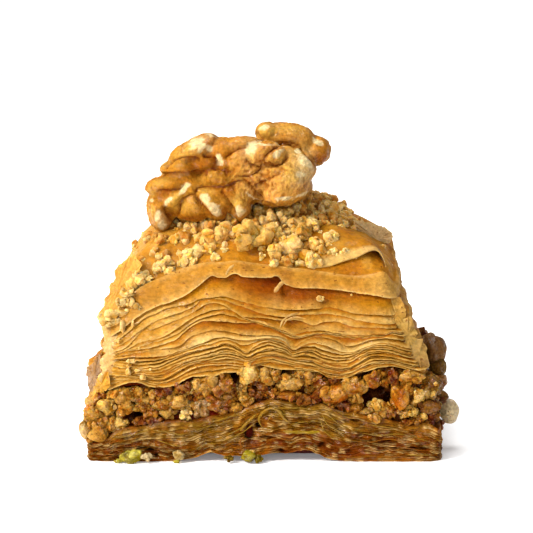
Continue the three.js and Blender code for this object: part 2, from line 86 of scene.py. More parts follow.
def pixel_of(points):
    """The pixel at which a point is seen."""
    away = points - EYE
    depth = away @ FORWARD
    return FRAME_PX / 2 + FOCAL_PX * (away @ RIGHT) / depth, FRAME_PX / 2 - FOCAL_PX * (away @ UP) / depth


def on_surface(px, py, height):
    """The first point of the surface z = height(x, y) seen at a pixel, or the one nearest to the pixel."""
    points = at_depth(px, py, SEARCH_DEPTHS)
    above = points[:, 2] - height(points[:, 0], points[:, 1])
    x, y, z = points[np.argmax(above <= 0) if (above <= 0).any() else np.argmin(above)]
    return np.array([x, y, min(z, height(x, y) + 0.3)])


# ---------------------------------------------------------------- arithmetic


def lerp(a, b, w):
    return a + (b - a) * w


def bell(v):
    return np.exp(-np.square(v))


def smooth_step(v):
    w = np.clip(v, 0, 1)
    return w * w * (3 - 2 * w)


def unit(v):
    return v / np.linalg.norm(v, axis=-1, keepdims=True)


def lattice(cell, seed):
    """A draw from 0 to 1 for each whole-number point."""
    primes = np.array([73856093, 19349663, 83492791], np.uint64)
    h = (cell.astype(np.uint64) * primes).sum(-1, dtype=np.uint64) + np.uint64(seed * 2654435761)
    for shift, factor in ((13, 1274126177), (16, 2246822519), (15, 3266489917)):
        h = ((h ^ (h >> np.uint64(shift))) * np.uint64(factor)) & np.uint64(0xFFFFFFFF)
    return h / 2.0**32


def noise(points, size, seed):
    """Smooth noise from -1 to 1, with swells about `size` mm across."""
    p = np.asarray(points, float) / size + 1000.5
    cell = np.floor(p)
    w = smooth_step(p - cell)
    total = np.zeros(p.shape[:-1])
    for corner in itertools.product((0, 1), repeat=3):
        weight = np.prod(np.where(corner, w, 1 - w), axis=-1)
        total += weight * lattice(cell + corner, seed)
    return 2 * total - 1


def waves(points, *layers):
    """Layers of noise on one another: each is its height, the size of its swells in mm, and its seed."""
    return sum(height * noise(points, size, seed) for height, size, seed in layers)


def patchy(points, bias, gain, size, seed):
    """Soft patches from 0 to 1: a higher bias makes them larger, and a higher gain their edges harder."""
    return smooth_step(bias + gain * noise(points, size, seed))


def wander(points, size, seed):
    """Noise that moves points in x, y and z."""
    return np.stack([noise(points, size, seed + k) for k in range(3)], -1)


def line_through(line, x):
    """A smooth line through (x, z) points, flat past its ends."""
    xs, zs = np.asarray(line, float).T
    slopes = np.empty(len(xs))
    slopes[1:-1] = (zs[2:] - zs[:-2]) / (xs[2:] - xs[:-2])
    slopes[0] = (zs[1] - zs[0]) / (xs[1] - xs[0])
    slopes[-1] = (zs[-1] - zs[-2]) / (xs[-1] - xs[-2])
    x = np.clip(x, xs[0], xs[-1])
    i = np.clip(np.searchsorted(xs, x, side="right") - 1, 0, len(xs) - 2)
    h = xs[i + 1] - xs[i]
    w = (x - xs[i]) / h
    start = zs[i] * (1 + 2 * w) * (1 - w) ** 2 + slopes[i] * h * w * (1 - w) ** 2
    return start + zs[i + 1] * w * w * (3 - 2 * w) + slopes[i + 1] * h * w * w * (w - 1)


def along_path(path, step, closed=False):
    """The path's points, evenly spaced about `step` mm apart."""
    path = np.asarray(path, float)
    if closed:
        path = np.concatenate([path, path[:1]])
    run = np.concatenate([[0], np.cumsum(np.linalg.norm(np.diff(path, axis=0), axis=1))])
    at = np.linspace(0, run[-1], max(int(run[-1] / step), 6) + 1)
    if closed:
        at = at[:-1]
    return np.stack([line_through(np.stack([run, path[:, k]], -1), at) for k in range(3)], -1)


def raised(place, z):
    """Points over (x, y) places."""
    return np.stack([*place, z], -1)


# ---------------------------------------------------------------- tints


def srgb(red, green, blue):
    """A colour from its 0 to 255 values, as linear light."""
    v = np.array([red, green, blue]) / 255
    return np.where(v < 0.04045, v / 12.92, ((v + 0.055) / 1.055) ** 2.4)


def plain(tint, points):
    """One tint for all the points."""
    return np.broadcast_to(tint, points.shape)


def blend(colour, other, weight):
    return lerp(colour, other, np.asarray(weight)[..., None])


def mottled(tints, points, *layers):
    """The tints with patches of others; each layer is a tint, its weight, and what `patchy` takes."""
    for tint, weight, *measures in layers:
        tints = blend(tints, tint, weight * patchy(points, *measures))
    return tints


# ---------------------------------------------------------------- the layers' surfaces, as in the frame

BASE = {"left": -30.5, "right": 29.9, "front": -25, "back": 25, "square": 26}
UPPER_FOOT = {"left": -28, "right": 27.9, "front": -24.4, "back": 24.6, "square": 20}
UPPER_CROWN = {"left": -27.4, "right": 22.4, "front": -18.9, "back": 19.6, "square": 12}
LEAN = {"left": 0.65, "right": 0.65, "square": 0.65, "front": 1.3, "back": 1.3}
CROWN_BULGE = 0.8
FRONT = {
    "base": [(-30, 3.2), (-26, 4.3), (-22, 6), (-18, 7.4), (-12, 8.7), (-5, 10.2), (3, 9.9), (10, 7.8),
             (20, 7), (30, 5.8)],
    "foot": [(-29, 11), (-24, 12.4), (-17, 12.6), (-9, 14.3), (-1, 16), (6, 15.3), (12, 13.8), (20, 15.9),
             (28, 14.2)],
    "crown": [(-28, 20.6), (-22, 25.2), (-16, 29), (-9, 32), (-2, 32.4), (6, 30.8), (13, 29.8), (19, 30.8),
              (23, 29.8)],
}
BACK = {
    "base": [(-30, 6.4), (-14, 8.2), (0, 7.4), (15, 8.4), (30, 6.6)],
    "foot": [(-29, 12.6), (-15, 14.6), (0, 13.9), (13, 15.2), (28, 13.4)],
    "crown": [(-28, 21.5), (-21, 26.5), (-12, 31.5), (0, 34), (12, 34), (23, 32.6)],
}
BASE_MIDDLE = 8.4
FOOT_MIDDLE = 15.2
CROWN_MIDDLE = 38.4
DOME = {"power": 2.5, "later": 0.14}
SIDE_WAVE = {"rise": 0.45, "length": 3.3}
HEAP = {"x": -2, "y": -0.5, "half_x": 17, "half_y": 15.5, "rise": 3}
HEAP_PEAK = {"x": 9.5, "y": 3, "reach": 7, "rise": 1.7}


def middle_of(foot):
    return (foot["left"] + foot["right"]) / 2, (foot["front"] + foot["back"]) / 2


def half_sizes(foot):
    return (foot["right"] - foot["left"]) / 2, (foot["back"] - foot["front"]) / 2


def superellipse(u, v, power):
    return (np.abs(u) ** power + np.abs(v) ** power) ** (1 / power)


def towards_edge(foot, x, y):
    """How far (x, y) lies from a footprint's middle towards its edge, and the edge point beyond it."""
    (middle_x, middle_y), (half_x, half_y) = middle_of(foot), half_sizes(foot)
    share = superellipse((x - middle_x) / half_x, (y - middle_y) / half_y, foot["square"])
    share = np.maximum(share, 1e-6)
    return share, middle_x + (x - middle_x) / share, middle_y + (y - middle_y) / share


def upper_foot(level):
    """The upper stack's footprint at a share of the way up, which leans in at each side."""
    level = np.clip(level, 0, 1)
    return {side: lerp(UPPER_FOOT[side], UPPER_CROWN[side], level**lean) for side, lean in LEAN.items()}


def backwards(y):
    return smooth_step((y - BASE["front"]) / (BASE["back"] - BASE["front"]))


def edge_height(name, x, y):
    return lerp(line_through(FRONT[name], x), line_through(BACK[name], x), backwards(y))


def upper_edge(level, x, y):
    side = 4 * backwards(y) * (1 - backwards(y))
    wave = side * SIDE_WAVE["rise"] * np.sin(y / SIDE_WAVE["length"] + 4 * level) * np.sin(np.pi * level)
    return lerp(edge_height("foot", x, y), edge_height("crown", x, y), level) + wave


def dome(middle, edge, share):
    drop = middle - edge
    return edge + drop * (1 - np.minimum(share, 1) ** (DOME["power"] + DOME["later"] * np.maximum(drop, 0)))


def upper_surface(level, x, y):
    share, edge_x, edge_y = towards_edge(upper_foot(level), x, y)
    return dome(lerp(FOOT_MIDDLE, CROWN_MIDDLE, level), upper_edge(level, edge_x, edge_y), share)


def crown_surface(x, y):
    return upper_surface(1, x, y)


def left_bulge(x, y):
    """How far the crown's left edge swells past its footprint."""
    return CROWN_BULGE * np.clip(1 - (y / UPPER_CROWN["back"]) ** 2, 0, 1) * (x < UPPER_CROWN["left"] + 5)


def base_surface(x, y):
    share, edge_x, edge_y = towards_edge(BASE, x, y)
    return dome(BASE_MIDDLE, edge_height("base", edge_x, edge_y), share)


def heap_surface(x, y):
    """The crown with the mound of nuts on it."""
    share = np.hypot((x - HEAP["x"]) / HEAP["half_x"], (y - HEAP["y"]) / HEAP["half_y"])
    peak = bell((x - HEAP_PEAK["x"]) / HEAP_PEAK["reach"]) * bell((y - HEAP_PEAK["y"]) / HEAP_PEAK["reach"])
    mound = HEAP["rise"] * (1 - share**2) + HEAP_PEAK["rise"] * peak
    return crown_surface(x, y) + np.where(share < 1, np.maximum(mound, 0), 0)


def directions(counts):
    """Directions from a footprint's middle: along its front, right side, back and left side."""
    sides = []
    for side, count in enumerate(counts):
        w = 2 * np.arange(count) / count - 1
        one = np.ones(count)
        sides.append(((w, -one), (one, w), (-w, one), (-one, -w))[side])
    return np.concatenate(sides, axis=1)


def edge_points(foot, way):
    """The footprint's edge points in the given directions, and the outward direction there."""
    power = foot["square"]
    (middle_x, middle_y), (half_x, half_y) = middle_of(foot), half_sizes(foot)
    u, v = way / superellipse(*way, power)
    out = np.stack([np.sign(a) * np.abs(a) ** (power - 1) / half for a, half in ((u, half_x), (v, half_y))])
    return np.stack([middle_x + u * half_x, middle_y + v * half_y]), out / np.hypot(*out)


def near_spot(points, x, z, half_x, half_z):
    """How near points lie to a spot of the front, as 0 to 1."""
    return bell((points[..., 0] - x) / half_x) * bell((points[..., 2] - z) / half_z)


# ---------------------------------------------------------------- meshes

# A tint is (colour seen - haze) / light: the light on the piece by channel, and the haze of its gloss.
LIGHT = np.array([1.85, 2.0, 2.3])
HAZE = 0.02
SEEDS = {"front": 3, "foot": 6, "filling": 5, "heap": 8}
SHEET_CREASE, NUT_CREASE = 50, 28  # the angles in degrees from which an edge is sharp


def make_piece(name, part, look, replaced=(), crease=None):
    """A shown piece from its (points, faces, colours seen): its mesh, its look and its place in the frame."""
    points, faces, tints = part
    material, slot = look
    mesh = bpy.data.meshes.new(name)
    mesh.from_pydata((np.asarray(points) * MM).tolist(), [], faces.tolist())
    mesh.update()
    mesh.shade_smooth()
    if crease:
        mesh.set_sharp_from_angle(angle=math.radians(crease))
    layer = mesh.color_attributes.new(name="tint", type="FLOAT_COLOR", domain="POINT")
    rgba = np.ones((len(points), 4), np.float32)
    rgba[:, :3] = np.clip(np.maximum(tints - HAZE, 0.4 * tints) / LIGHT, 0, 1)
    layer.data.foreach_set("color", rgba.ravel())
    mesh.materials.append(material)
    piece = bpy.data.objects.new(name, mesh)
    bpy.context.scene.collection.objects.link(piece)
    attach(piece, "root")
    if replaced:
        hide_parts(*replaced)


def joined(parts):
    """Several (points, faces, tints) as one."""
    points, faces, tints = zip(*parts)
    starts = np.cumsum([0, *map(len, points[:-1])])
    faces = [triangles + start for triangles, start in zip(faces, starts)]
    return np.concatenate(points), np.concatenate(faces), np.concatenate(tints)


def tube_faces(rows, count, closed=True):
    """Triangles between rows of `count` points that run round; `closed` joins the last row to the first."""
    j, i = np.meshgrid(np.arange(rows if closed else rows - 1), np.arange(count), indexing="ij")
    here, after = j * count, ((j + 1) % rows) * count
    following = (i + 1) % count
    a, b, c, d = here + i, here + following, after + following, after + i
    return np.concatenate([np.stack([a, b, c], -1).reshape(-1, 3), np.stack([a, c, d], -1).reshape(-1, 3)])


def cap_faces(row, middle, count):
    """Triangles between the row of points that starts at `row` and the one in its middle."""
    i = np.arange(count)
    return np.stack([row + i, row + (i + 1) % count, np.full(count, middle)], -1)


def with_caps(points, tints, bottom=True):
    """Rows of points as a solid: walls between the rows, and caps over the last and under the first."""
    rows, count = points.shape[:2]
    faces = [tube_faces(rows, count, closed=False), cap_faces((rows - 1) * count, rows * count, count)]
    if bottom:
        faces.append(cap_faces(0, rows * count + 1, count)[:, ::-1])
    points = np.concatenate([points.reshape(-1, 3), [points[-1].mean(0), points[0].mean(0)]])
    tints = np.concatenate([tints.reshape(-1, 3), [tints[-1].mean(0), tints[0].mean(0)]])
    return points, np.concatenate(faces), tints


# A thread's points are `step` mm apart and stray by so much; a higher taper makes its thin ends shorter.
STRAND = {"step": 0.3, "sides": 6, "stray": 0.07, "taper": 5}


def strand(path, radius, tint, seed, flat):
    """A thread along a path on the front, thin at both ends; `flat` is its depth over its width."""
    path = along_path(path, STRAND["step"])
    path = path + STRAND["stray"] * wander(path, 1.1, seed)
    across = unit(np.cross(unit(np.gradient(path, axis=0)), (0, -1, 0)))
    way = np.linspace(0, 1, len(path))
    taper = np.clip(np.minimum(way, 1 - way) * STRAND["taper"] + 0.15, 0, 1)
    width = radius * taper * (1 + 0.3 * noise(path, 0.8, seed + 9))
    angles = np.linspace(0, 2 * math.pi, STRAND["sides"], endpoint=False)
    outwards = flat * np.array([0, -1, 0])
    rings = [path + width[:, None] * (math.cos(a) * across + math.sin(a) * outwards) for a in angles]
    points = np.stack(rings, axis=1)
    tints = blend(plain(tint, points), tint * (0.7, 0.6, 0.45), 0.5 + 0.5 * noise(points, 0.9, seed))
    return with_caps(points, tints)


# In mm: how far apart a flake's rim has its points, how thick it is, how far it bows, how ragged its rim is.
FLAKE = {"step": 0.3, "thick": 0.25, "bow": 0.3, "ragged": 0.3}
FLAKE_RINGS = (0.1, 0.35, 0.6, 0.8, 0.93, 1)  # the size of each ring of points from the middle out


def flake(outline, tint, seed):
    """A torn piece of sheet with the given outline, bowed towards the eye in its middle."""
    rim = along_path(outline, FLAKE["step"], closed=True)
    rim = rim + FLAKE["ragged"] * wander(rim, 0.5, seed)
    middle = rim.mean(0)
    rows = []
    for side, shares in ((1, FLAKE_RINGS), (0, FLAKE_RINGS[::-1])):
        for share in shares:
            forward = side * FLAKE["thick"] - FLAKE["bow"] * (1 - share**2)
            rows.append(middle + (rim - middle) * share + FORWARD * forward)
    points = np.stack(rows)
    points -= 0.12 * noise(points, 1.2, seed + 5)[..., None] * FORWARD
    tints = mottled(plain(tint, points), points, (tint * (0.75, 0.62, 0.45), 0.7, 0.1, 1, 1.3, seed + 7))
    # A paler rim: partly the torn edge's paler colour, partly painted highlight.
    edge = np.array([0, 0, 0, 0.1, 0.4, 1, 1, 0.4, 0.1, 0, 0, 0])[:, None]
    return with_caps(points, blend(tints, np.minimum(tint * 1.25 + 0.03, 1), 0.6 * edge))


# ---------------------------------------------------------------- materials

DULL = (0.012, 0.06)  # between these brightnesses of the tint the coat comes in: dark crevices have none
SYRUP_ROUGHNESS = 0.07
SCATTER = (1.0, 0.55, 0.2)  # how far light of each channel spreads under the surface, times SCATTER_MM
SCATTER_MM = 1.4


def surface(name, roughness, grain, bump, mottle, coat, gloss, subsurface, stretch=1.0, speck=None):
    """A material that takes the piece's tints, with mottling, relief and uneven syrup; and its name.

    grain is the size of the finest relief in mm, bump its depth in mm, mottle how much the tints vary,
    coat the most syrup, gloss the bare surface's shine, subsurface how much light spreads inside,
    stretch how much longer than high the marks are, and speck the colour, the size in mm and the
    threshold of dark specks.
    """
    made = bpy.data.materials.new(name)
    made.use_nodes = True
    nodes, links = made.node_tree.nodes, made.node_tree.links
    shader = nodes["Principled BSDF"]

    def node(kind, inputs=(), **settings):
        new = nodes.new(f"ShaderNode{kind}")
        for setting, value in settings.items():
            setattr(new, setting, value)
        for socket, value in dict(inputs).items():
            if isinstance(value, bpy.types.NodeSocket):
                links.new(value, new.inputs[socket])
            else:
                new.inputs[socket].default_value = value
        return new

    place = node("VectorMath", {0: node("TexCoord").outputs["Object"], 1: (1 / stretch, 1 / stretch, 1)},
                 operation="MULTIPLY").outputs["Vector"]
    tint = node("VertexColor", layer_name="tint").outputs["Color"]

    def noise_of(size, detail=3.0):
        return node("TexNoise", {"Vector": place, "Scale": 1 / (size * MM), "Detail": detail}).outputs["Fac"]

    def ranged(value, low, high, from_low=0.3, from_high=0.7):
        return node("MapRange", {"Value": value, "From Min": from_low, "From Max": from_high, "To Min": low,
                                 "To Max": high}).outputs["Result"]

    colour = tint
    for size, share in ((grain * 7, 0.5), (grain * 1.8, 1.2)):
        shade = ranged(noise_of(size), 1 - mottle * share, 1 + mottle * share)
        colour = node("VectorMath", {0: colour, "Scale": shade}, operation="SCALE").outputs["Vector"]
    if speck:
        dark, size, threshold = speck
        spots = ranged(noise_of(size, detail=1), 0, 0.8, threshold, threshold + 0.04)
        colour = node("Mix", {"A": colour, "B": (*srgb(*dark), 1), "Factor": spots},
                      data_type="RGBA").outputs["Result"]
    relief = node("Bump", {"Height": noise_of(grain * 1.5, detail=4), "Distance": bump * MM,
                           "Strength": 1}).outputs["Normal"]
    wet = node("Math", {0: ranged(noise_of(grain * 5), 0, coat, 0.46, 0.6), 1: ranged(tint, 0, 1, *DULL)},
               operation="MULTIPLY").outputs["Value"]
    rough = ranged(noise_of(grain * 3), roughness - 0.1, roughness + 0.12)
    for socket, value in {"Base Color": colour, "Roughness": rough, "Normal": relief, "Coat Normal": relief,
                          "Coat Weight": wet}.items():
        links.new(value, shader.inputs[socket])
    shader.inputs["Specular IOR Level"].default_value = gloss
    shader.inputs["Coat Roughness"].default_value = SYRUP_ROUGHNESS
    shader.inputs["Subsurface Weight"].default_value = subsurface
    shader.inputs["Subsurface Radius"].default_value = SCATTER
    shader.inputs["Subsurface Scale"].default_value = SCATTER_MM * MM
    return made, name


# ---------------------------------------------------------------- pieces of nut

GOLDEN_ANGLE = math.pi * (3 - math.sqrt(5))
# A chip's cut faces lie between these shares of its size from its middle; with a higher sharp its edges are
# less worn.
CHIP = {"nearest": 0.62, "farthest": 0.98, "reach": 1.15, "sharp": 22}
CRUMB = {"knobs": 16, "least": 0.55}  # its grains, and the share of its size that it always has
BUMPS = ((0.14, 0.8, 10), (0.12, 0.4, 11), (0.1, 0.2, 12))  # as `waves` takes them
# Painted shade and painted highlight on the nut pieces, as powers of their tint:
PAINTED_SHADE_DEPTH = np.array([1.6, 1.66, 1.75])  # how much deeper each channel gets in a cavity
PAINTED_HIGHLIGHT_DEPTH = 0.85  # and how much paler all three get on a ridge
NUT = {
    "yellow": srgb(234, 190, 104), "pale": srgb(208, 160, 80), "tan": srgb(176, 118, 46),
    "brown": srgb(148, 92, 38), "amber": srgb(208, 146, 60), "golden": srgb(202, 148, 66),
    "shade": srgb(136, 98, 54), "grey": srgb(200, 164, 112), "ivory": srgb(246, 210, 140),
    "cream": srgb(244, 208, 142), "butter": srgb(238, 194, 114), "toasted": srgb(220, 168, 90),
}


def ball(detail):
    """A round mesh of even triangles: unit points and faces."""
    made = bmesh.new()
    bmesh.ops.create_icosphere(made, subdivisions=detail, radius=1)
    points = np.array([v.co for v in made.verts])
    faces = np.array([[v.index for v in face.verts] for face in made.faces])
    made.free()
    return points, faces


BALLS = {detail: ball(detail) for detail in (2, 3, 4)}


def turned(points, rng):
    """The points, turned any way."""
    q, r = np.linalg.qr(rng.normal(size=(3, 3)))
    q *= np.sign(np.diag(r))
    return points @ (q * np.sign(np.linalg.det(q))).T


def chip_radius(way, rng, planes):
    """How far a chopped piece reaches in each direction: flat cut faces with worn edges."""
    normals = unit(rng.normal(size=(planes, 3)))
    depths = rng.uniform(CHIP["nearest"], CHIP["farthest"], planes)
    lean = np.maximum(way @ normals.T, 0) / depths
    return ((lean ** CHIP["sharp"]).sum(-1) + CHIP["reach"] ** -CHIP["sharp"]) ** (-1 / CHIP["sharp"])


def crumb_radius(way, rng):
    """How far a crumb reaches in each direction: a clump of round grains."""
    centres = rng.normal(size=(CRUMB["knobs"], 3))
    centres *= rng.uniform(0.35, 0.8, (CRUMB["knobs"], 1)) / np.linalg.norm(centres, axis=1, keepdims=True)
    radii = rng.uniform(0.2, 0.42, CRUMB["knobs"])
    along = way @ centres.T
    under = radii**2 - (centres**2).sum(-1) + along**2
    reach = np.where(under > 0, along + np.sqrt(np.maximum(under, 0)), 0)
    return np.maximum(reach.max(-1), CRUMB["least"])


def nut_piece(centre, half, tint, rng, detail, crumbly):
    """A piece of chopped nut: its shape is a chip for crumbly 0 and a crumb for 1."""
    way, faces = BALLS[detail]
    crumb = rng.random() < crumbly
    reach = crumb_radius(way, rng) if crumb else chip_radius(way, rng, 7 if detail == 2 else 9)
    place = way + rng.uniform(-50, 50, 3)
    reach = reach * (1 + waves(place, *BUMPS))
    points = turned(way * reach[:, None], rng) * half
    cavity = smooth_step(0.55 - 2.2 * (reach - reach.mean()))
    rough = 0.5 + 0.5 * noise(place, 0.6, 13)
    below = smooth_step(0.2 - 1.2 * points[:, 2] / np.max(half))
    # Painted shade: darker in the cavities and on the underside; painted highlight: paler on the ridges.
    dark = np.maximum(cavity * smooth_step(2 * rough - 0.1), 0.8 * below)
    tints = blend(plain(tint, points), tint**PAINTED_SHADE_DEPTH, dark)
    tints = blend(tints, tint**PAINTED_HIGHLIGHT_DEPTH, 0.8 * (1 - cavity) * smooth_step(1.7 - 2 * rough))
    return points + centre, faces, tints


def nut_lump(centre, half, tint, seed):
    """A large smooth piece of nut."""
    way, faces = BALLS[4]
    place = way + 10 * seed
    reach = 1 + waves(place, (0.22, 1.1, 14), (0.05, 0.35, 15))
    tints = mottled(plain(tint, way), place, (tint * (0.7, 0.62, 0.5), 1, 0, 2, 0.7, 16))
    return way * reach[:, None] * half + centre, faces, tints


def nut_cluster(centre, half, tint, rng, detail, count):
    """A piece with `count` smaller ones grown on to it."""
    parts = [nut_piece(centre, half * 0.85, tint, rng, detail, 0)]
    for _ in range(count):
        way = unit(rng.normal(size=3) * (1, 0.7, 1)) - 0.35 * FORWARD
        size = half.mean() * rng.uniform(0.24, 0.5) * rng.uniform(0.7, 1.35, 3)
        parts.append(nut_piece(centre + way * half * 0.72, size, tint * rng.uniform(0.75, 1.25), rng, 2, 0))
    return parts


def traced_half(half_x, half_y, shallow=False):
    """Half-sizes in mm of what shows as half_x by half_y pixels: as deep as their mean or the smaller."""
    depth = min(half_x, half_y) if shallow else (half_x + half_y) / 2
    return np.array([half_x, depth, half_y]) / PX_PER_MM


# ---------------------------------------------------------------- stacks of sheets

FRONT_FADE = 7  # the front's own lines give way to the sides' over this many mm


def sheet_stack(table, trace, filler):
    """Every sheet of a stack from the top: its level, its line on the front as x and z, and its tint.

    Each row of the table is a level, a tint, whether another sheet lies tucked in below, and the edge in
    pixels.
    """
    sheets = []
    for (level, tint, doubled, pixels), following in itertools.zip_longest(table, table[1:]):
        line = trace(pixels)
        sheets.append({"level": level, "line": line, "tint": tint, "own": True})
        if doubled:
            lower = line_through(trace(following[-1]), line[:, 0])
            between = np.stack([line[:, 0], lerp(line[:, 1], lower, 0.5)], -1)
            level, tint = lerp(level, following[0], 0.5), lerp(tint, filler, 0.5)
            sheets.append({"level": level, "line": between, "tint": tint, "own": False})
    return sheets


def sheet_rings(sheets, edge_of, ring_of):
    """Each sheet but the topmost as a ring that comes out under the sheet above."""
    edges = [edge_of(sheet, seed) for seed, sheet in enumerate(sheets)]
    return edges, [ring_of(edges[k], edges[k - 1], sheets[k]["tint"], k) for k in range(1, len(sheets))]


def ring_mesh(points, tints):
    return points.reshape(-1, 3), tube_faces(*points.shape[:2]), tints.reshape(-1, 3)


# ---------------------------------------------------------------- the upper stack

CREAM = srgb(248, 208, 138)
GOLD = srgb(216, 152, 54)
TAN = srgb(184, 124, 44)
ORANGE = srgb(190, 108, 22)
# A dark tint for the painted shade in the recess behind the sheets.
RECESS_SHADE = srgb(128, 58, 8)
# A deep red-orange for the painted shade in the gaps under each sheet.
CREVICE_SHADE = srgb(174, 78, 4)
SAND = srgb(230, 170, 82)
# A dark red for the painted shadow in a slit between sheets.
SLIT_SHADE = srgb(120, 28, 0)

# Round the upper stack, more points on the front than on the sides and back.
AROUND = directions((380, 60, 50, 60))

# The sheets whose edges are told apart on the front, from the top, as `sheet_stack` takes them.
SHEETS = [
    (0.94, TAN, False, [
        (100, 342), (112, 338), (125, 327), (140, 315), (155, 307), (170, 302), (185, 295), (200, 284),
        (207, 278), (212, 275), (218, 277), (226, 277), (231, 274), (236, 273), (242, 276), (255, 277),
        (270, 277), (278, 276), (284, 283), (296, 287), (315, 288), (330, 289), (345, 291), (360, 293),
        (375, 295), (390, 299), (402, 301)]),
    (0.8, ORANGE, False, [
        (100, 347), (112, 345), (125, 335), (136, 325), (145, 318), (155, 314), (165, 309), (178, 306),
        (190, 303), (200, 299), (212, 297), (225, 296), (234, 299), (245, 303), (258, 306), (270, 308),
        (285, 310), (300, 310), (315, 309), (330, 308), (345, 312), (360, 314), (375, 315), (390, 316),
        (402, 316)]),
    (0.75, GOLD, False, [
        (100, 350), (112, 349), (125, 343), (140, 331), (155, 322), (170, 316), (185, 311), (195, 306),
        (200, 301), (206, 299.5), (215, 299), (224, 300), (232, 304), (245, 308), (262, 313), (275, 316),
        (285, 317), (300, 315), (315, 315), (330, 315), (345, 318), (360, 321), (375, 323), (390, 325),
        (404, 326)]),
    (0.7, TAN, False, [
        (100, 354), (112, 353), (125, 348), (138, 335), (146, 328), (151, 330), (163, 325), (180, 319),
        (190, 315), (198, 309.5), (205, 305), (214, 303), (223, 304.5), (233, 311), (243, 317), (255, 318),
        (270, 319), (285, 321), (300, 320), (313, 325), (322, 322), (335, 321), (345, 324), (355, 327),
        (370, 328), (385, 329), (406, 332)]),
    (0.64, TAN, True, [
        (100, 356), (112, 355), (125, 351), (140, 343), (155, 340), (165, 336), (179, 327), (191, 319),
        (200, 315), (212, 311), (223, 310), (230, 311), (235, 313), (243, 318), (252, 321), (262, 324),
        (275, 328), (285, 331), (295, 335), (305, 333), (320, 331), (335, 333), (350, 336), (360, 336),
        (375, 336), (385, 335), (392, 332), (408, 335)]),
    (0.57, GOLD, False, [
        (100, 358), (112, 357), (125, 352), (140, 350), (155, 346), (168, 342), (177, 338.5), (184, 332),
        (192, 326), (200, 322), (212, 320.5), (225, 321), (235, 323), (245, 323.5), (255, 323), (265, 326),
        (275, 330), (285, 335), (295, 338), (305, 337), (320, 334), (335, 336), (350, 339), (365, 338),
        (380, 337), (392, 335), (410, 339)]),
    (0.5, ORANGE, False, [
        (100, 360), (112, 358), (130, 355), (150, 351), (165, 349), (180, 345), (190, 337), (200, 333),
        (212, 331), (225, 331.5), (240, 334), (255, 335), (270, 335), (285, 338), (293, 347), (303, 342),
        (313, 339), (325, 338), (335, 340), (345, 345), (355, 345), (370, 340), (385, 338), (395, 339),
        (412, 344)]),
    (0.43, CREAM, True, [
        (100, 362), (112, 360), (125, 358), (140, 357), (155, 357), (165, 356), (178, 352), (190, 348),
        (205, 342), (215, 338), (225, 337), (235, 339), (245, 340), (262, 338), (272, 338), (285, 342),
        (293, 350), (303, 346), (313, 344), (325, 345), (335, 349), (345, 352), (355, 351), (370, 346),
        (385, 343), (414, 350)]),
    (0.37, TAN, True, [
        (100, 365), (112, 363), (125, 363), (140, 365), (155, 363), (165, 360), (178, 356), (190, 352),
        (203, 349), (215, 347), (225, 343.5), (235, 346), (247, 352), (254, 347), (262, 342.5), (270, 341.5),
        (278, 344), (286, 347), (293, 352), (303, 350), (315, 351), (325, 355), (335, 357), (350, 356),
        (358, 353), (368, 349), (380, 347), (392, 349), (416, 357)]),
    (0.3, GOLD, True, [
        (100, 369), (112, 367), (125, 368), (140, 370), (155, 370), (165, 367), (178, 361), (190, 357),
        (203, 354), (215, 351), (225, 348.5), (235, 350), (247, 355.5), (258, 351), (270, 348), (282, 350),
        (293, 356), (303, 354), (313, 356), (325, 361), (335, 363), (350, 362), (360, 357), (372, 352),
        (382, 351.5), (392, 353), (418, 361)]),
    (0.23, TAN, True, [
        (100, 373), (112, 371), (125, 372), (140, 374), (155, 375), (165, 373), (178, 366), (190, 361),
        (203, 358), (215, 355.5), (225, 353.5), (237, 355), (248, 359), (258, 355), (270, 353), (282, 355),
        (293, 359), (303, 359), (315, 361), (328, 366), (338, 368), (350, 367), (360, 362), (372, 356.5),
        (382, 356), (392, 357), (402, 360), (420, 364)]),
    (0.16, GOLD, True, [
        (100, 378), (112, 376), (125, 376), (140, 378), (155, 379), (165, 378), (178, 371), (190, 365),
        (203, 362), (215, 360), (228, 358.5), (240, 361), (250, 363), (258, 359), (270, 357), (282, 359),
        (293, 362), (303, 363.5), (315, 366), (328, 370), (340, 372), (350, 370.5), (360, 366), (372, 360.5),
        (382, 359.5), (392, 360), (402, 363), (415, 366), (424, 367)]),
    (0.09, TAN, True, [
        (100, 384), (112, 381), (125, 380), (140, 380), (155, 383), (165, 382), (178, 377), (190, 370),
        (203, 366), (215, 365), (228, 364.5), (240, 366), (250, 366), (258, 363), (270, 361.5), (282, 364),
        (293, 366), (303, 367), (315, 369), (328, 374), (340, 375.5), (350, 374), (360, 369.5), (372, 365),
        (382, 363.5), (392, 363.5), (402, 366), (415, 370), (427, 371)]),
    (0.0, GOLD, False, [
        (100, 394), (112, 389), (125, 384), (140, 383), (150, 386), (165, 387), (175, 385), (190, 378),
        (205, 376), (215, 376), (225, 373), (240, 372), (250, 369), (260, 366), (280, 369), (300, 370),
        (310, 371), (320, 373), (330, 378), (340, 379), (350, 377), (357, 374), (370, 371), (380, 368),
        (390, 367), (400, 368), (410, 371), (420, 376), (430, 375)]),
]
# The right ends step out downwards, bundle by bundle: from this level up they reach this x.
RIGHT_ENDS = [(0, 27.6), (0.12, 26.5), (0.26, 25.4), (0.45, 24.2), (0.66, 22.9), (0.9, 22.4)]
SHEET_THICK = 0.16
HIDDEN = 2.2  # how far a sheet reaches in behind the one above
# Places on the front where a gap opens between two sheets: pixel, half-width in mm, and depth in mm.
HOLLOWS = [
    (262, 284, 4.5, 1.3), (300, 293, 5.0, 0.7), (228, 348, 3.4, 0.7), (230, 356, 3.0, 0.6),
    (208, 308, 2.6, 0.6), (245, 328, 4.0, 0.7), (140, 360, 4.5, 0.9), (381, 357, 2.3, 0.9),
    (380, 352, 2.0, 0.6), (205, 369, 2.6, 0.5), (320, 350, 2.6, 0.6), (312, 357, 2.4, 0.6),
    (340, 344, 2.0, 0.5), (200, 330, 2.2, 0.4),
]
HOLLOW_HEIGHT = 0.55  # half of its height in mm
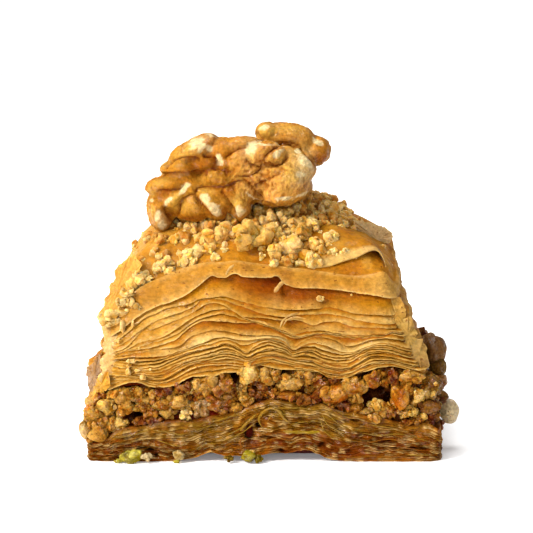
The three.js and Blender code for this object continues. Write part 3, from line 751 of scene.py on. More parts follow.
# Patches of colour on the front's sheets: pixel, half-sizes in mm, colour and weight. The darkest, under the
# lip and in a slit, are painted shadow, and the six small near-white ones are painted glints.
PATCHES = [
    (200, 292, 5.2, 1.6, srgb(228, 150, 22), 0.95), (165, 316, 4.8, 1.6, srgb(240, 188, 98), 0.85),
    (258, 290, 5.0, 1.9, srgb(166, 86, 12), 0.85), (272, 283, 2.6, 1.0, srgb(120, 34, 0), 0.9),
    (305, 297, 7.0, 1.7, srgb(160, 80, 10), 0.9), (375, 306, 5.0, 2.2, srgb(212, 146, 38), 0.85),
    (380, 357, 2.2, 0.5, SLIT_SHADE, 0.9), (145, 357, 6.0, 0.9, srgb(196, 104, 18), 0.85),
    (118, 372, 2.8, 3.0, srgb(232, 158, 62), 0.7), (225, 336, 6.5, 0.8, srgb(232, 182, 104), 0.8),
    (238, 329, 7.0, 0.8, srgb(180, 104, 30), 0.8), (255, 318, 4.5, 1.8, srgb(154, 96, 28), 0.75),
    (240, 306, 5.0, 0.9, srgb(204, 134, 44), 0.6), (165, 375, 3.4, 1.4, srgb(196, 112, 28), 0.7),
    (150, 330, 4.0, 1.2, srgb(230, 166, 64), 0.6), (372, 332, 3.4, 0.8, srgb(210, 158, 106), 0.8),
    (330, 318, 4.0, 0.7, srgb(216, 168, 100), 0.6), (303, 352, 3.5, 1.4, srgb(198, 140, 62), 0.6),
    (260, 356, 5.0, 2.0, srgb(196, 148, 76), 0.6), (390, 350, 4.0, 1.5, srgb(216, 150, 58), 0.6),
    (335, 366, 5.0, 1.2, srgb(190, 138, 66), 0.6), (356, 338, 6.5, 1.3, srgb(178, 122, 52), 0.5),
    (348, 333, 2.2, 0.45, srgb(244, 204, 160), 0.8), (388, 321, 1.6, 0.5, srgb(246, 212, 150), 0.8),
    (344, 321, 2.2, 0.4, srgb(240, 198, 142), 0.7), (322, 327, 2.4, 0.4, srgb(240, 200, 146), 0.6),
    (365, 320, 1.8, 0.4, srgb(244, 206, 150), 0.7), (273, 309, 1.6, 0.4, srgb(240, 200, 140), 0.7),
]


def front_wall(x, z):
    """The depth of the upper stack's front at a height."""
    low, high = line_through(FRONT["foot"], x), line_through(FRONT["crown"], x)
    return upper_foot((z - low) / (high - low))["front"]


def on_front(line):
    """A line of pixels on the upper stack's front, as x and z."""
    px, py = np.array(line, float).T
    y = np.full(len(px), -22.0)
    for _ in range(4):
        points = at_depth(px, py, y)
        y = front_wall(points[:, 0], points[:, 2])
    return points[:, [0, 2]]


def sheet_edge(sheet, seed):
    """A sheet's edge round the stack: its places, the outward direction there, and how far it stands out."""
    own = sheet["own"]

    def height(x, y, front_y):
        front = 1 - smooth_step((y - front_y - 0.3) / FRONT_FADE)
        here = raised((x, y), np.full(len(x), 9.0 * seed))
        droop = lerp(1, 0.35 if own else 0.8, front) * waves(here, (0.3, 5, seed), (0.16, 1.7, seed + 50))
        ragged = waves(here, (0.05 if own else 0.1, 0.8, seed + 90), (0.05, 0.35, seed + 95))
        return lerp(upper_edge(sheet["level"], x, y), line_through(sheet["line"], x), front) + droop + ragged

    level = np.full(AROUND.shape[1], sheet["level"])
    steps, reaches = np.array(RIGHT_ENDS).T
    right = reaches[np.searchsorted(steps, sheet["level"], side="right") - 1]
    for _ in range(4):
        foot = {**upper_foot(level), "right": right}
        place, out = edge_points(foot, AROUND)
        z = height(*place, foot["front"])
        low, high = edge_height("foot", *place), edge_height("crown", *place)
        level = np.clip((z - low) / (high - low), 0, 1)
    here = raised(place, np.full(len(z), 5.0 * seed))
    body = 0.26 * noise(here, 6, seed + 130) + level * left_bulge(*place) - (0 if own else 0.16)
    reach = body + waves(here, (0.16, 1.8, seed + 170), (0.08, 0.5, seed))
    return {"place": place, "z": z, "out": out, "reach": reach, "body": body,
            "open": patchy(here, 0.5, 1.3, 4.5, seed + 190)}


def front_weight(points, px, py, half_x, half_z):
    """How near points of the front lie to a pixel, as 0 to 1."""
    (spot,) = on_front([(px, py)])
    return near_spot(points, *spot, half_x, half_z) * (points[..., 1] < -12)


def sheet_ring(edge, above, tint, seed):
    """One sheet's outer part: it comes out under the sheet above, bends down and ends in its edge."""
    (x, y), z, out = edge["place"], edge["z"], edge["out"]
    gap = np.maximum(above["z"] - z, 0.12)
    flush = 0.12 * (1 - edge["open"])
    bottom = edge["place"] + out * (edge["reach"] - flush)
    smooth_bottom = edge["place"] + out * (edge["body"] - flush)
    loose = 0.2 + 0.8 * smooth_step((x + 27) / 22)
    under = raised(edge["place"], z + gap)
    hollow = sum(depth * front_weight(under, px, py, half, HOLLOW_HEIGHT) for px, py, half, depth in HOLLOWS)
    tuck = 0.04 + 0.4 * loose * above["open"] ** 1.5 + 0.08 * gap + hollow
    top = above["place"] + above["out"] * (above["body"] - tuck)
    deep = top - out * HIDDEN
    lit = np.minimum(0.14 + 0.4 * patchy(raised(edge["place"], z), 0, 1.6, 2.2, seed + 220), 0.35 * gap)
    points = np.stack([raised(*row) for row in (
        (bottom + out * 0.05, z),
        (bottom - out * 0.04, z + lit),
        (lerp(smooth_bottom, top, 0.5), z + 0.5 * gap),
        (lerp(smooth_bottom, top, 0.85), z + 0.82 * gap),
        (top, z + gap + 0.04),
        (deep, z + 1.25 * gap + 0.5),
        (deep, z + 1.25 * gap + 0.5 - SHEET_THICK),
        (lerp(smooth_bottom, top, 0.5) - out * SHEET_THICK, z + 0.45 * gap),
        (bottom - out * SHEET_THICK, z + 0.02),
    )])
    # Pale rows at the bottom edge: partly the thin edge's paler colour, partly painted highlight, made uneven
    # by noise. Dark rows, at the top of the face under the sheet above and in its hidden part: painted shade,
    # less towards the left end.
    pale = np.array([1.0, 0.8, 0.15, 0, 0, 0, 0, 0.2, 0.8])[:, None]
    dark = np.array([0, 0, 0.05, 0.35, 0.75, 0.9, 0.9, 0.2, 0])[:, None]
    uneven_pale_edge = 0.5 + 0.5 * noise(points, 2.6, seed + 210)
    tints = mottled(plain(tint, points), points, (ORANGE, 0.7, 0.5, 0.9, 4.0, seed + 230),
                    (SAND, 0.5, 0, 1.4, 1.6, seed + 240))
    # Painted light: the sheets paler towards the left end.
    tints = blend(tints, SAND, (0.55 * (1 - loose) * (y < 0))[None, :])
    tints = blend(tints, CREAM, pale * (0.35 + 0.65 * uneven_pale_edge) * (0.65 + 0.35 * edge["open"]))
    shaded = smooth_step((points[..., 0] - 23) / 3) * smooth_step((points[..., 1] + 22.5) / 5)
    tints = blend(tints, tints * (0.62, 0.6, 0.7), 0.9 * shaded)
    for *spot, colour, weight in PATCHES:
        tints = blend(tints, colour, weight * front_weight(points, *spot) * (1 - 0.6 * pale))
    return ring_mesh(points, blend(tints, CREVICE_SHADE, dark * loose))


# Where the uppermost whole sheet bends down over the front, in pixels.
CREST = [
    (100, 336), (108, 328), (118, 314), (127, 300), (137, 290), (150, 282), (162, 277), (175, 271),
    (190, 266), (205, 262.5), (220, 262), (235, 261), (262, 264), (280, 266), (300, 268.5), (315, 271),
    (330, 273), (345, 275), (365, 275.5), (375, 274), (385, 273), (392, 281), (401, 293),
]
# Its rings of points from the brim to the middle, as shares of the way.
TOP_SHARES = [
    0.99, 0.975, 0.955, 0.93, 0.9, 0.87, 0.84, 0.8, 0.76, 0.72, 0.68, 0.63, 0.58, 0.52, 0.45, 0.37, 0.28,
    0.18, 0.08,
]
LIP_PROUD = 0.5  # how far the lip hangs in front of the sheets below


def top_sheet(edge):
    """The uppermost whole sheet: the dome, and the lip in which it hangs over the sheets below."""
    place, out = edge_points(upper_foot(1), AROUND)
    x, y = place
    here = raised(place, 0 * x)
    left, right = UPPER_CROWN["left"], UPPER_CROWN["right"]
    torn = smooth_step((left + 6 - x) / 5) + smooth_step((x - right + 3) / 3) * (y > -14)
    brim = place + out * (left_bulge(x, y) - 0.1 + torn * waves(here, (0.35, 2.6, 305), (0.3, 0.9, 306)))
    front = 1 - smooth_step((y - UPPER_CROWN["front"] - 0.3) / FRONT_FADE)
    crest = at_depth(*np.array(CREST, float).T, UPPER_CROWN["front"])
    brim_z = lerp(upper_edge(1, x, y) + 0.25, line_through(crest[:, [0, 2]], x), front)
    brim_z = np.maximum(brim_z, edge["z"] + 0.5)
    lip = edge["place"] + edge["out"] * (edge["reach"] + LIP_PROUD)
    rows = [
        (lip - edge["out"] * 1.6, edge["z"] + 0.9),
        (lip - edge["out"] * SHEET_THICK, edge["z"] + 0.03),
        (lip, edge["z"]),
        (lerp(lip, brim, 0.12), lerp(edge["z"], brim_z, 0.1)),
        (lerp(lip, brim, 0.4) + 0.1 * out, lerp(edge["z"], brim_z, 0.42)),
        (lerp(lip, brim, 0.75) + 0.15 * out, lerp(edge["z"], brim_z, 0.78)),
        (brim, brim_z),
    ]
    middle = np.array(middle_of(UPPER_CROWN))[:, None]
    for share in TOP_SHARES:
        within = middle + (brim - middle) * share
        settle = smooth_step((1 - share) / 0.05)
        rows.append((within, lerp(brim_z - 0.25, crown_surface(*within), settle) + 0.2))
    points = np.stack([raised(*row) for row in rows])
    soft = np.linspace(0.2, 1, len(rows))[:, None]
    points[3:, :, 2] += (soft * waves(points, (0.35, 6, 301), (0.12, 2, 302)))[3:]
    tints = plain(srgb(208, 140, 48), points)
    # Painted light: the dome paler towards its left.
    tints = blend(tints, srgb(232, 176, 84), 0.8 * smooth_step(-(points[..., 0] + 6) / 14))
    tints = mottled(tints, points, (srgb(188, 112, 28), 0.6, 0.5, 0.9, 4, 303),
                    (srgb(230, 178, 86), 0.5, 0, 1.3, 2, 307))
    hanging, pale = np.zeros((2, len(rows), 1))
    hanging[2:7, 0] = (0.2, 0.85, 1.0, 0.9, 0.2)
    # Pale lip edge and crest: partly the thin edge's paler colour, partly painted highlight.
    pale[[1, 2, 3, 6], 0] = (0.7, 0.9, 0.3, 0.35)
    band = mottled(plain(srgb(206, 148, 66), points), points, (srgb(182, 130, 72), 1, 0.3, 1.2, 2.4, 308))
    band = blend(band, srgb(222, 176, 98), 0.8 * smooth_step((points[..., 0] - 15) / 5))
    tints = blend(tints, band, hanging)
    tints = blend(tints, CREAM, pale * patchy(points, 0.8, 0.8, 3, 304))
    shaded = smooth_step((points[..., 0] - 20.5) / 3) * smooth_step((points[..., 1] + 15) / 5)
    tints = blend(tints, tints * (0.72, 0.72, 0.84), 0.9 * shaded)
    # Painted shade at the top of the lip's underside, tucked in behind it.
    tints[0] = ORANGE
    return with_caps(points, tints, bottom=False)


# The loose front end of the topmost sheet, right of the heap: its front edge as pixel and height over the
# sheet below in mm, and its back edge.
FLAP_FRONT = [
    (306, 267, 0.3), (315, 268.5, 0.4), (330, 266.5, 0.8), (345, 261.5, 1.1), (358, 257.5, 1.3),
    (366, 253.5, 1.5), (373, 251, 1.7), (378, 252, 1.7), (382, 257, 1.4), (384.5, 263, 1.0), (386, 268, 0.6),
]
FLAP_BACK = {"left": 6.5, "right": 17.5, "y": 7}
FLAP_STEPS = (60, 34)  # points from left to right, and from back to front
FLAP_THICK = 0.2


def flap():
    """A thin closed sheet from its buried back edge to its lifted, curled front edge."""
    px, py, _ = np.array(FLAP_FRONT).T
    corners = np.stack([on_surface(*pixel, lambda x, y: crown_surface(x, y) + over)
                        for *pixel, over in FLAP_FRONT])
    count, steps = FLAP_STEPS
    run = np.cumsum(np.hypot(np.diff(px, prepend=px[0]), np.diff(py, prepend=py[0])))
    front = np.stack([line_through(np.stack([run / run[-1], corner], -1), np.linspace(0, 1, count))
                      for corner in corners.T], -1)
    across = np.clip((front[:, 0] - front[0, 0]) / (front[-1, 0] - front[0, 0]), 0, 1)
    back = np.stack([lerp(FLAP_BACK["left"], FLAP_BACK["right"], across), np.full(count, FLAP_BACK["y"])])
    along = np.linspace(0, 1, steps)[:, None]
    x, y = lerp(back[:, None], front.T[:2, None], along)
    lift = front[:, 2] - crown_surface(front[:, 0], front[:, 1])
    upper = raised((x, y), crown_surface(x, y) + lerp(-0.1, lift, along**2.2) + 0.25)
    upper[..., 2] += waves(upper, (0.22, 4, 311), (0.08, 1.4, 312)) * (1 - along**4)
    points = np.concatenate([upper, upper[::-1] - (0, 0, FLAP_THICK)])
    points[steps, :, 1] += 0.05
    rows = len(points)
    walls = tube_faces(rows, count).reshape(2, rows, count, 3)[:, :, :-1].reshape(-1, 3)
    k = np.arange(steps - 1)
    below = rows - 2 - k
    ends = np.concatenate([np.stack([k, below, below + 1], -1), np.stack([k, k + 1, below], -1)])
    faces = np.concatenate([walls, ends * count, (ends * count + count - 1)[:, ::-1]])
    tints = mottled(plain(srgb(198, 136, 40), points), points, (srgb(172, 108, 26), 0.6, 0.5, 0.9, 3, 313),
                    (srgb(210, 160, 76), 0.6, 0, 1.3, 1.8, 314))
    row = np.arange(rows)[:, None]
    # Painted shade on the underside; along the curled front edge a pale band, partly the edge's paler colour,
    # partly painted highlight.
    tints = blend(tints, srgb(158, 106, 44), 0.9 * (row >= steps))
    tints = blend(tints, CREAM, 0.7 * (np.abs(row - steps + 0.5) < 1.6))
    return points.reshape(-1, 3), faces, tints.reshape(-1, 3)


CORE_AROUND = directions((40, 36, 40, 36))


def upper_core():
    """What fills the upper stack behind its sheets' edges."""

    def ring(level, share, inset, lift):
        edge, out = edge_points(upper_foot(level), CORE_AROUND)
        middle = np.array([[-1.0], [0.0]])
        place = middle + (edge - out * inset - middle) * share
        z = upper_edge(level, *edge) if share == 1 else upper_surface(level, *place)
        return raised(place, z + lift)

    rings = [ring(0, share, 1.3, 0.25) for share in (0.5, 0.9)]
    rings += [ring(level, 1, 1.35, 0.25 - 0.6 * level) for level in (0, 0.2, 0.4, 0.6, 0.8, 0.95)]
    rings += [ring(1, share, 1.3, -0.8) for share in (0.9, 0.75, 0.5, 0.25)]
    points = np.stack(rings)
    # Coloured the dark tint all over, as painted shade for the recess behind the sheets.
    return with_caps(points, plain(RECESS_SHADE, points))


# Torn bits and corners of sheet: outline in pixels, then how far it lies behind the front in mm, or the
# depths of its left and right ends, and its colour.
FLAKES = [
    ([(100, 354), (94, 362), (89, 365), (86.5, 371), (88, 386), (89, 394), (93, 398), (98, 392), (101, 372)],
      (-10, -19), srgb(170, 132, 90)),
    ([(134, 255), (122, 262), (114, 272), (115, 279), (108, 286), (110, 292), (104, 300), (105, 306),
      (99, 316), (101, 323), (108, 325), (113, 310), (120, 296), (130, 282), (142, 266)], (-9, -18.5),
      srgb(232, 174, 88)),
    ([(102, 322), (118, 325), (122, 338), (121, 350), (112, 357), (104, 354), (102, 348), (105, 341),
      (103, 333)], 0.9, srgb(232, 194, 130)),
    ([(99, 366), (103, 356), (112, 351), (120, 358), (121, 374), (114, 384), (104, 384), (98, 380),
      (101, 373)], 0.9, srgb(230, 190, 126)),
    ([(94, 386), (99, 378), (107, 372), (110, 384), (103, 394), (92, 399)], (-20, -24.4), srgb(222, 168, 74)),
    # Of the planks at the right-hand stair, those that lie deeper (1.9 mm) are painted darker, as shade.
    ([(399, 298), (402, 302), (406, 312), (407, 326), (404, 333), (392, 330), (386, 314), (390, 301)], 1.5,
      srgb(212, 166, 88)),
    ([(405, 308), (410, 317), (412, 330), (412, 343), (409, 345), (396, 342), (391, 328), (394, 312)], 1.9,
      srgb(160, 120, 62)),
    ([(411, 319), (415, 328), (418, 340), (419, 352), (416, 354), (403, 352), (398, 338), (400, 323)], 1.5,
      srgb(204, 164, 92)),
    ([(417, 330), (421, 338), (423, 348), (425, 359), (422, 362), (408, 360), (403, 346), (406, 333)], 1.9,
      srgb(152, 120, 70)),
    ([(422, 341), (425, 347), (428, 356), (430, 367), (428, 370), (414, 368), (409, 356), (411, 344)], 1.5,
      srgb(186, 152, 94)),
    ([(352, 219), (366, 222), (378, 226), (388, 229), (392, 233), (392.5, 240), (385, 244.5), (389, 250),
      (395, 252), (394, 263), (388, 262), (372, 244), (358, 230)], (-7, 4), srgb(236, 198, 142)),
    ([(390, 262), (394.5, 268), (398, 276), (399, 284), (397, 294), (400, 300), (396, 306), (390, 298),
      (386, 280)], (-14, -4), srgb(232, 194, 138)),
]
# Crumbs stuck to the front: pixel, half-sizes in pixels.
FACE_CRUMBS = [
    (132, 361, 5, 2.6), (128, 372, 3, 4), (143, 377, 3, 3.5), (119, 340, 2, 2.8), (133, 324, 1.8, 4),
    (128, 366, 2, 2), (126, 292, 6, 5), (121, 301, 6, 5), (131, 302, 5, 6), (137, 307, 5, 4),
    (122, 311, 6, 5), (112, 315, 8, 6), (104, 318, 5, 6.5), (117, 322, 6, 4), (122, 327, 3.5, 6.5),
    (126, 299, 4, 4), (109, 322, 5, 4), (320, 298, 4.2, 3), (139, 348, 1.5, 1), (137, 370, 3, 1.2),
    (351.5, 294.5, 1.2, 1.2), (150, 369, 1.5, 1.2),
]
# Threads and torn strips hanging over the front: line in pixels, half-width in pixels.
STRANDS = [
    ([(284, 281), (280, 284), (277, 288), (274, 292)], 2.2),
    ([(280, 327), (283, 320), (290, 315), (300, 312)], 0.9),
    ([(283, 326), (287, 320), (294, 317), (305, 318)], 0.8), ([(234, 264), (229, 269), (226, 275)], 1.3),
]


def flake_rim(outline, depths):
    """An outline of pixels as points, at the depths that FLAKES gives."""
    px, py = np.array(outline, float).T
    if isinstance(depths, tuple):
        return at_depth(px, py, np.interp(px, [px.min(), px.max()], depths))
    x, z = on_front(outline).T
    return raised((x, front_wall(x, z) + depths), z)


def front_details():
    """Flakes, crumbs, threads and strips on the upper stack's front and corners."""
    rng = np.random.default_rng(SEEDS["front"])
    parts = []
    for k, (outline, depths, tint) in enumerate(FLAKES):
        parts.append(flake(flake_rim(outline, depths), tint, 20 * k))
    for px, py, half_x, half_y in FACE_CRUMBS:
        (x, z), = on_front([(px, py)])
        half = traced_half(half_x, half_y, shallow=True)
        centre = np.array([x, front_wall(x, z) - 0.35, z])
        parts += nut_cluster(centre, 1.15 * half, 0.97 * NUT["ivory"], rng, 3, 4 if half_x > 3.5 else 0)
    for k, (line, half) in enumerate(STRANDS):
        x, z = on_front(line).T
        path = raised((x, front_wall(x, z) - 0.45), z)
        parts.append(strand(path, half / PX_PER_MM, srgb(238, 196, 128), 800 + 20 * k, flat=0.5))
    return joined(parts)


def buttered(part, share=0.75):
    """The part with its tints drawn to buttered dough's: the deeper the tint, the more red and less blue."""
    points, faces, tints = part
    green = np.clip(tints[..., 1], 0.001, 1)
    amber = np.stack([1.13 * green**0.52, green, np.minimum(0.8 * green**2.3, tints[..., 2])], -1)
    return points, faces, blend(tints, amber, share)


def make_upper_stack(pastry):
    edges, rings = sheet_rings(sheet_stack(SHEETS, on_front, TAN), sheet_edge, sheet_ring)
    half = len(edges) // 2
    make_piece("top_sheets", buttered(top_sheet(edges[0]), 0.5), pastry, ["top_pastry"], crease=SHEET_CREASE)
    make_piece("upper_sheets", buttered(joined(rings[:half])), pastry, crease=SHEET_CREASE)
    make_piece("lower_sheets", buttered(joined(rings[half:])), pastry, crease=SHEET_CREASE)
    make_piece("upper_core", buttered(upper_core()), pastry)
    make_piece("loose_flap", buttered(flap()), pastry, crease=SHEET_CREASE)
    make_piece("front_details", front_details(), pastry, crease=SHEET_CREASE)


# ---------------------------------------------------------------- the soaked lower stack

OLIVE = srgb(174, 128, 48)
SOAKED = srgb(150, 86, 22)
AMBER = srgb(186, 118, 34)
# A straw tint for the painted wet highlights on the sheets' edges and folds.
STRAW_SHEEN = srgb(244, 206, 136)
# A dark brown: in random smears it is the soaked sheets' own colour, in the folds and behind the sheets it is
# painted shade.
PEAT = srgb(100, 34, 1)
# Near black, for the painted shadow in the base's openings.
HOLE_SHADE = srgb(24, 8, 2)
# The first is the pale of the wet edges that stand out: partly their own colour, partly painted highlight.
WET_EDGE_AND_SHEEN, HONEY, LEAF = srgb(172, 138, 66), srgb(158, 102, 32), srgb(176, 148, 56)
PISTACHIO, LIME = srgb(160, 146, 42), srgb(190, 180, 76)

BASE_FRONT = -25.2
BASE_AROUND = directions((380, 54, 44, 54))
BASE_HIDDEN = 2.5  # how far a sheet reaches in behind the one above

# Its sheets' lower edges on the front, from the top, as `sheet_stack` takes them.
BASE_SHEETS = [
    (1.0, OLIVE, False, [
        (84, 443), (95, 444), (105, 441), (115, 434), (128, 429), (140, 428), (155, 425), (170, 423),
        (190, 422), (205, 419), (225, 416), (240, 412), (252, 406), (265, 403), (285, 402), (300, 404),
        (320, 405), (335, 411), (350, 414), (370, 418), (385, 420), (400, 425), (415, 427), (425, 425),
        (435, 428), (443, 432)]),
    (0.88, OLIVE, True, [
        (84, 446), (95, 447), (105, 445), (118, 440), (130, 437), (145, 435), (165, 433), (180, 431),
        (195, 429), (207, 425), (222, 421), (238, 417), (250, 412), (262, 409), (280, 406), (300, 408),
        (320, 409), (335, 415), (350, 420), (370, 424), (385, 427), (400, 430), (415, 431), (430, 433),
        (443, 437)]),
    (0.74, OLIVE, True, [
        (84, 449), (95, 449), (105, 448), (118, 444), (130, 442), (145, 440), (160, 440), (172, 439),
        (185, 438), (197, 434), (210, 430), (225, 427), (240, 424), (250, 418), (262, 414), (275, 413),
        (290, 417), (305, 419), (320, 420), (335, 425), (350, 431), (370, 434), (390, 434), (410, 434),
        (430, 437), (443, 442)]),
    (0.6, SOAKED, True, [
        (84, 452), (95, 452), (108, 450), (120, 448), (135, 446), (150, 444), (165, 444), (178, 446),
        (190, 445), (202, 440), (215, 436), (230, 433), (242, 430), (252, 423), (262, 420), (275, 424),
        (290, 425), (305, 424), (320, 424), (332, 430), (345, 436), (360, 439), (380, 440), (400, 439),
        (420, 442), (443, 447)]),
    (0.46, OLIVE, True, [
        (84, 455), (95, 455), (108, 453), (120, 451), (135, 450), (150, 449), (165, 449), (180, 451),
        (192, 449), (205, 444), (218, 441), (232, 438), (245, 435), (255, 433), (265, 432), (280, 430),
        (295, 430), (310, 430), (322, 431), (335, 437), (348, 441), (362, 443), (380, 444), (400, 444),
        (420, 447), (443, 450)]),
    (0.32, SOAKED, True, [
        (86, 457), (98, 457), (110, 456), (122, 455), (135, 454), (150, 453), (165, 453), (180, 455),
        (195, 452), (208, 448), (222, 445), (235, 443), (248, 441), (262, 441), (275, 438), (290, 441),
        (305, 438), (320, 442), (335, 446), (350, 447), (365, 446), (380, 447), (400, 449), (420, 452),
        (443, 454)]),
    (0.16, SOAKED, True, [
        (88, 460), (100, 459), (115, 458), (130, 457), (150, 456), (165, 457), (180, 458), (195, 455),
        (210, 449), (225, 449), (240, 449), (255, 448), (265, 446), (275, 446), (288, 448), (300, 445),
        (312, 446), (325, 451), (340, 454), (355, 453), (370, 452), (390, 453), (410, 455), (430, 456),
        (441, 458)]),
    (0.0, AMBER, False, [
        (88, 461.5), (100, 462), (130, 462), (165, 462), (180, 461), (195, 458), (205, 455), (215, 453),
        (225, 455), (240, 457), (255, 456.5), (270, 455), (285, 455), (293, 454), (300, 450.5), (308, 449.5),
        (316, 452), (323, 457), (332, 460), (345, 461.5), (370, 462), (443, 462)]),
]
# Patches of colour on the base's front: pixel, half-sizes in mm, colour and weight.
BASE_PATCHES = [
    (105, 450, 5.0, 1.6, srgb(140, 74, 12), 0.8), (150, 436, 6.0, 1.2, srgb(146, 104, 44), 0.7),
    (200, 428, 6.0, 2.0, srgb(142, 108, 40), 0.8), (215, 440, 5.0, 1.4, srgb(146, 108, 26), 0.7),
    (300, 411, 8.0, 1.4, srgb(160, 124, 52), 0.9), (300, 422, 5.0, 1.2, srgb(140, 100, 30), 0.8),
    (290, 442, 6.0, 1.4, srgb(136, 74, 16), 0.9), (370, 427, 7.0, 1.2, srgb(136, 94, 34), 0.8),
    (400, 445, 8.0, 1.8, srgb(128, 70, 12), 0.8), (425, 436, 4.0, 1.2, srgb(190, 120, 40), 0.8),
    (345, 452, 5.0, 1.6, srgb(124, 68, 12), 0.8), (335, 420, 3.0, 2.5, srgb(152, 118, 52), 0.8),
    (160, 452, 6.0, 1.2, srgb(120, 72, 16), 0.8),
]
# Openings in it, hollowed and painted dark as shadow: pixel, half-sizes in mm and depth in mm.
BASE_OPENINGS = [
    (249, 434, 0.6, 1.1, 2.4), (258, 426, 0.7, 0.6, 1.2), (137, 425, 1.8, 0.35, 0.9),
    (282, 453, 1.2, 0.4, 0.8), (148, 451, 1.4, 0.4, 0.9), (156, 456, 0.6, 0.5, 0.9),
    (322, 445, 0.6, 0.4, 0.8), (385, 443, 1.6, 0.3, 0.6), (352, 422, 2.2, 0.3, 0.6),
    (300, 404, 3.0, 0.3, 0.5), (268, 438, 1.4, 0.3, 0.5), (415, 450, 2.0, 0.3, 0.5),
]
# Edges of sheets that stand out on it, the pale ones partly painted highlight: line in pixels, half-width in
# pixels, colour.
BASE_EDGES = [
    ([(262, 427), (259, 420), (262, 414), (270, 410), (279, 412), (284, 418), (290, 423)], 2.4, WET_EDGE_AND_SHEEN),
    ([(283, 431), (295, 433), (308, 433), (320, 431)], 2.6, LEAF),
    ([(268, 421), (272, 416), (279, 417)], 1.4, WET_EDGE_AND_SHEEN),
    ([(240, 432), (244, 426), (250, 421), (256, 414)], 2.2, WET_EDGE_AND_SHEEN),
    ([(222, 441), (236, 437), (246, 430), (256, 422)], 1.1, WET_EDGE_AND_SHEEN),
    ([(226, 436), (238, 431), (248, 424)], 0.8, WET_EDGE_AND_SHEEN),
    ([(322, 414), (327, 424), (338, 431), (352, 436)], 1.0, WET_EDGE_AND_SHEEN),
    ([(325, 411), (334, 420), (345, 428), (362, 432)], 0.8, WET_EDGE_AND_SHEEN),
    ([(330, 408), (342, 417), (354, 423)], 0.7, HONEY),
    ([(320, 418), (324, 429), (332, 437), (341, 441)], 0.8, WET_EDGE_AND_SHEEN),
    ([(190, 428), (205, 423), (222, 418), (240, 412)], 0.8, WET_EDGE_AND_SHEEN),
    ([(188, 433), (204, 427), (220, 423), (238, 418)], 0.7, WET_EDGE_AND_SHEEN),
    ([(150, 430), (165, 433), (180, 435), (188, 433)], 0.9, WET_EDGE_AND_SHEEN),
    ([(112, 438), (125, 437), (140, 432), (152, 430)], 1.0, WET_EDGE_AND_SHEEN),
    ([(105, 443), (122, 442), (138, 438)], 0.8, HONEY),
    ([(156, 440), (168, 443), (180, 445), (190, 441)], 0.9, WET_EDGE_AND_SHEEN),
    ([(118, 447), (135, 446), (150, 444)], 0.7, HONEY), ([(92, 448), (108, 450), (124, 449)], 0.8, HONEY),
    ([(95, 455), (112, 454), (130, 452), (150, 448)], 0.7, HONEY),
    ([(198, 449), (206, 445), (214, 443)], 0.9, WET_EDGE_AND_SHEEN), ([(196, 445), (204, 441), (212, 439)], 0.7, WET_EDGE_AND_SHEEN),
    ([(244, 448), (240, 444), (242, 439), (248, 440)], 1.4, HONEY),
    ([(224, 450), (238, 452), (252, 453), (262, 450)], 1.0, HONEY),
    ([(264, 446), (270, 440), (280, 438), (292, 441), (300, 438)], 0.9, HONEY),
    ([(262, 452), (274, 446), (286, 447), (296, 443), (306, 440), (318, 443)], 0.8, HONEY),
    ([(330, 445), (345, 448), (360, 444), (378, 446)], 0.8, HONEY),
    ([(350, 440), (370, 443), (388, 440), (404, 441)], 0.8, HONEY),
    ([(360, 434), (378, 436), (398, 435), (415, 437), (432, 443)], 1.0, WET_EDGE_AND_SHEEN),
    ([(395, 430), (412, 430), (428, 434), (440, 441)], 0.8, HONEY),
    ([(365, 450), (385, 451), (405, 448), (425, 452)], 0.7, HONEY),
    ([(335, 455), (355, 457), (375, 455), (400, 458)], 0.7, HONEY),
    ([(405, 455), (420, 456), (434, 455)], 0.7, WET_EDGE_AND_SHEEN),
    ([(272, 410), (285, 407), (300, 408), (315, 409)], 0.8, WET_EDGE_AND_SHEEN),
    ([(270, 415), (286, 414), (302, 416), (318, 415)], 0.8, WET_EDGE_AND_SHEEN),
    ([(290, 425), (302, 422), (318, 421)], 0.9, WET_EDGE_AND_SHEEN), ([(346, 417), (364, 419), (384, 421)], 0.8, HONEY),
    ([(368, 426), (384, 428), (402, 430)], 0.7, WET_EDGE_AND_SHEEN),
]
# Small crumbs at the foot of its front: pixel, half-sizes in pixels and colour.
FOOT_CRUMBS = [
    (127, 457, 7, 5.5, srgb(172, 160, 54)), (136, 456, 6, 5, LIME), (118, 461, 3.5, 2.2, LIME),
    (146, 457, 5.5, 5, srgb(204, 184, 142)), (178, 455, 5.5, 4.5, srgb(208, 186, 136)),
    (177, 461, 4, 2.4, LIME), (229, 458, 4.5, 3.5, srgb(126, 104, 42)), (249, 457, 6, 5.5, PISTACHIO),
    (258, 458, 5, 4.5, srgb(132, 114, 38)), (252, 452, 2.6, 2, srgb(220, 186, 112)),
]


def on_base(line):
    """A line of pixels on the base's front, as x and z."""
    return at_depth(*np.array(line, float).T, BASE_FRONT)[:, [0, 2]]


def crumpled(points):
    """The points of the base's front, with the soaked sheets' small folds."""

    def fold(height, stretch, size, seed):
        return height * noise(points * (1, 1, stretch), size, seed)

    soft = smooth_step(points[..., 2] / 1.2 - 0.1) * (points[..., 1] < 0)
    moved = np.array(points, float)
    moved[..., 1] += soft * (fold(0.34, 1.3, 1.7, 580) + fold(0.2, 1, 0.75, 581))
    moved[..., 2] += soft * (fold(0.3, 0.6, 2.2, 582) + fold(0.14, 0.7, 0.9, 583))
    return moved


def base_opening(points):
    """How far the base's front is hollowed at its points."""
    depth = np.zeros(points.shape[:-1])
    for px, py, half_x, half_z, deep in BASE_OPENINGS:
        (spot,) = on_base([(px, py)])
        depth = np.maximum(depth, deep * near_spot(points, *spot, half_x, half_z))
    return depth * (points[..., 1] < -20)


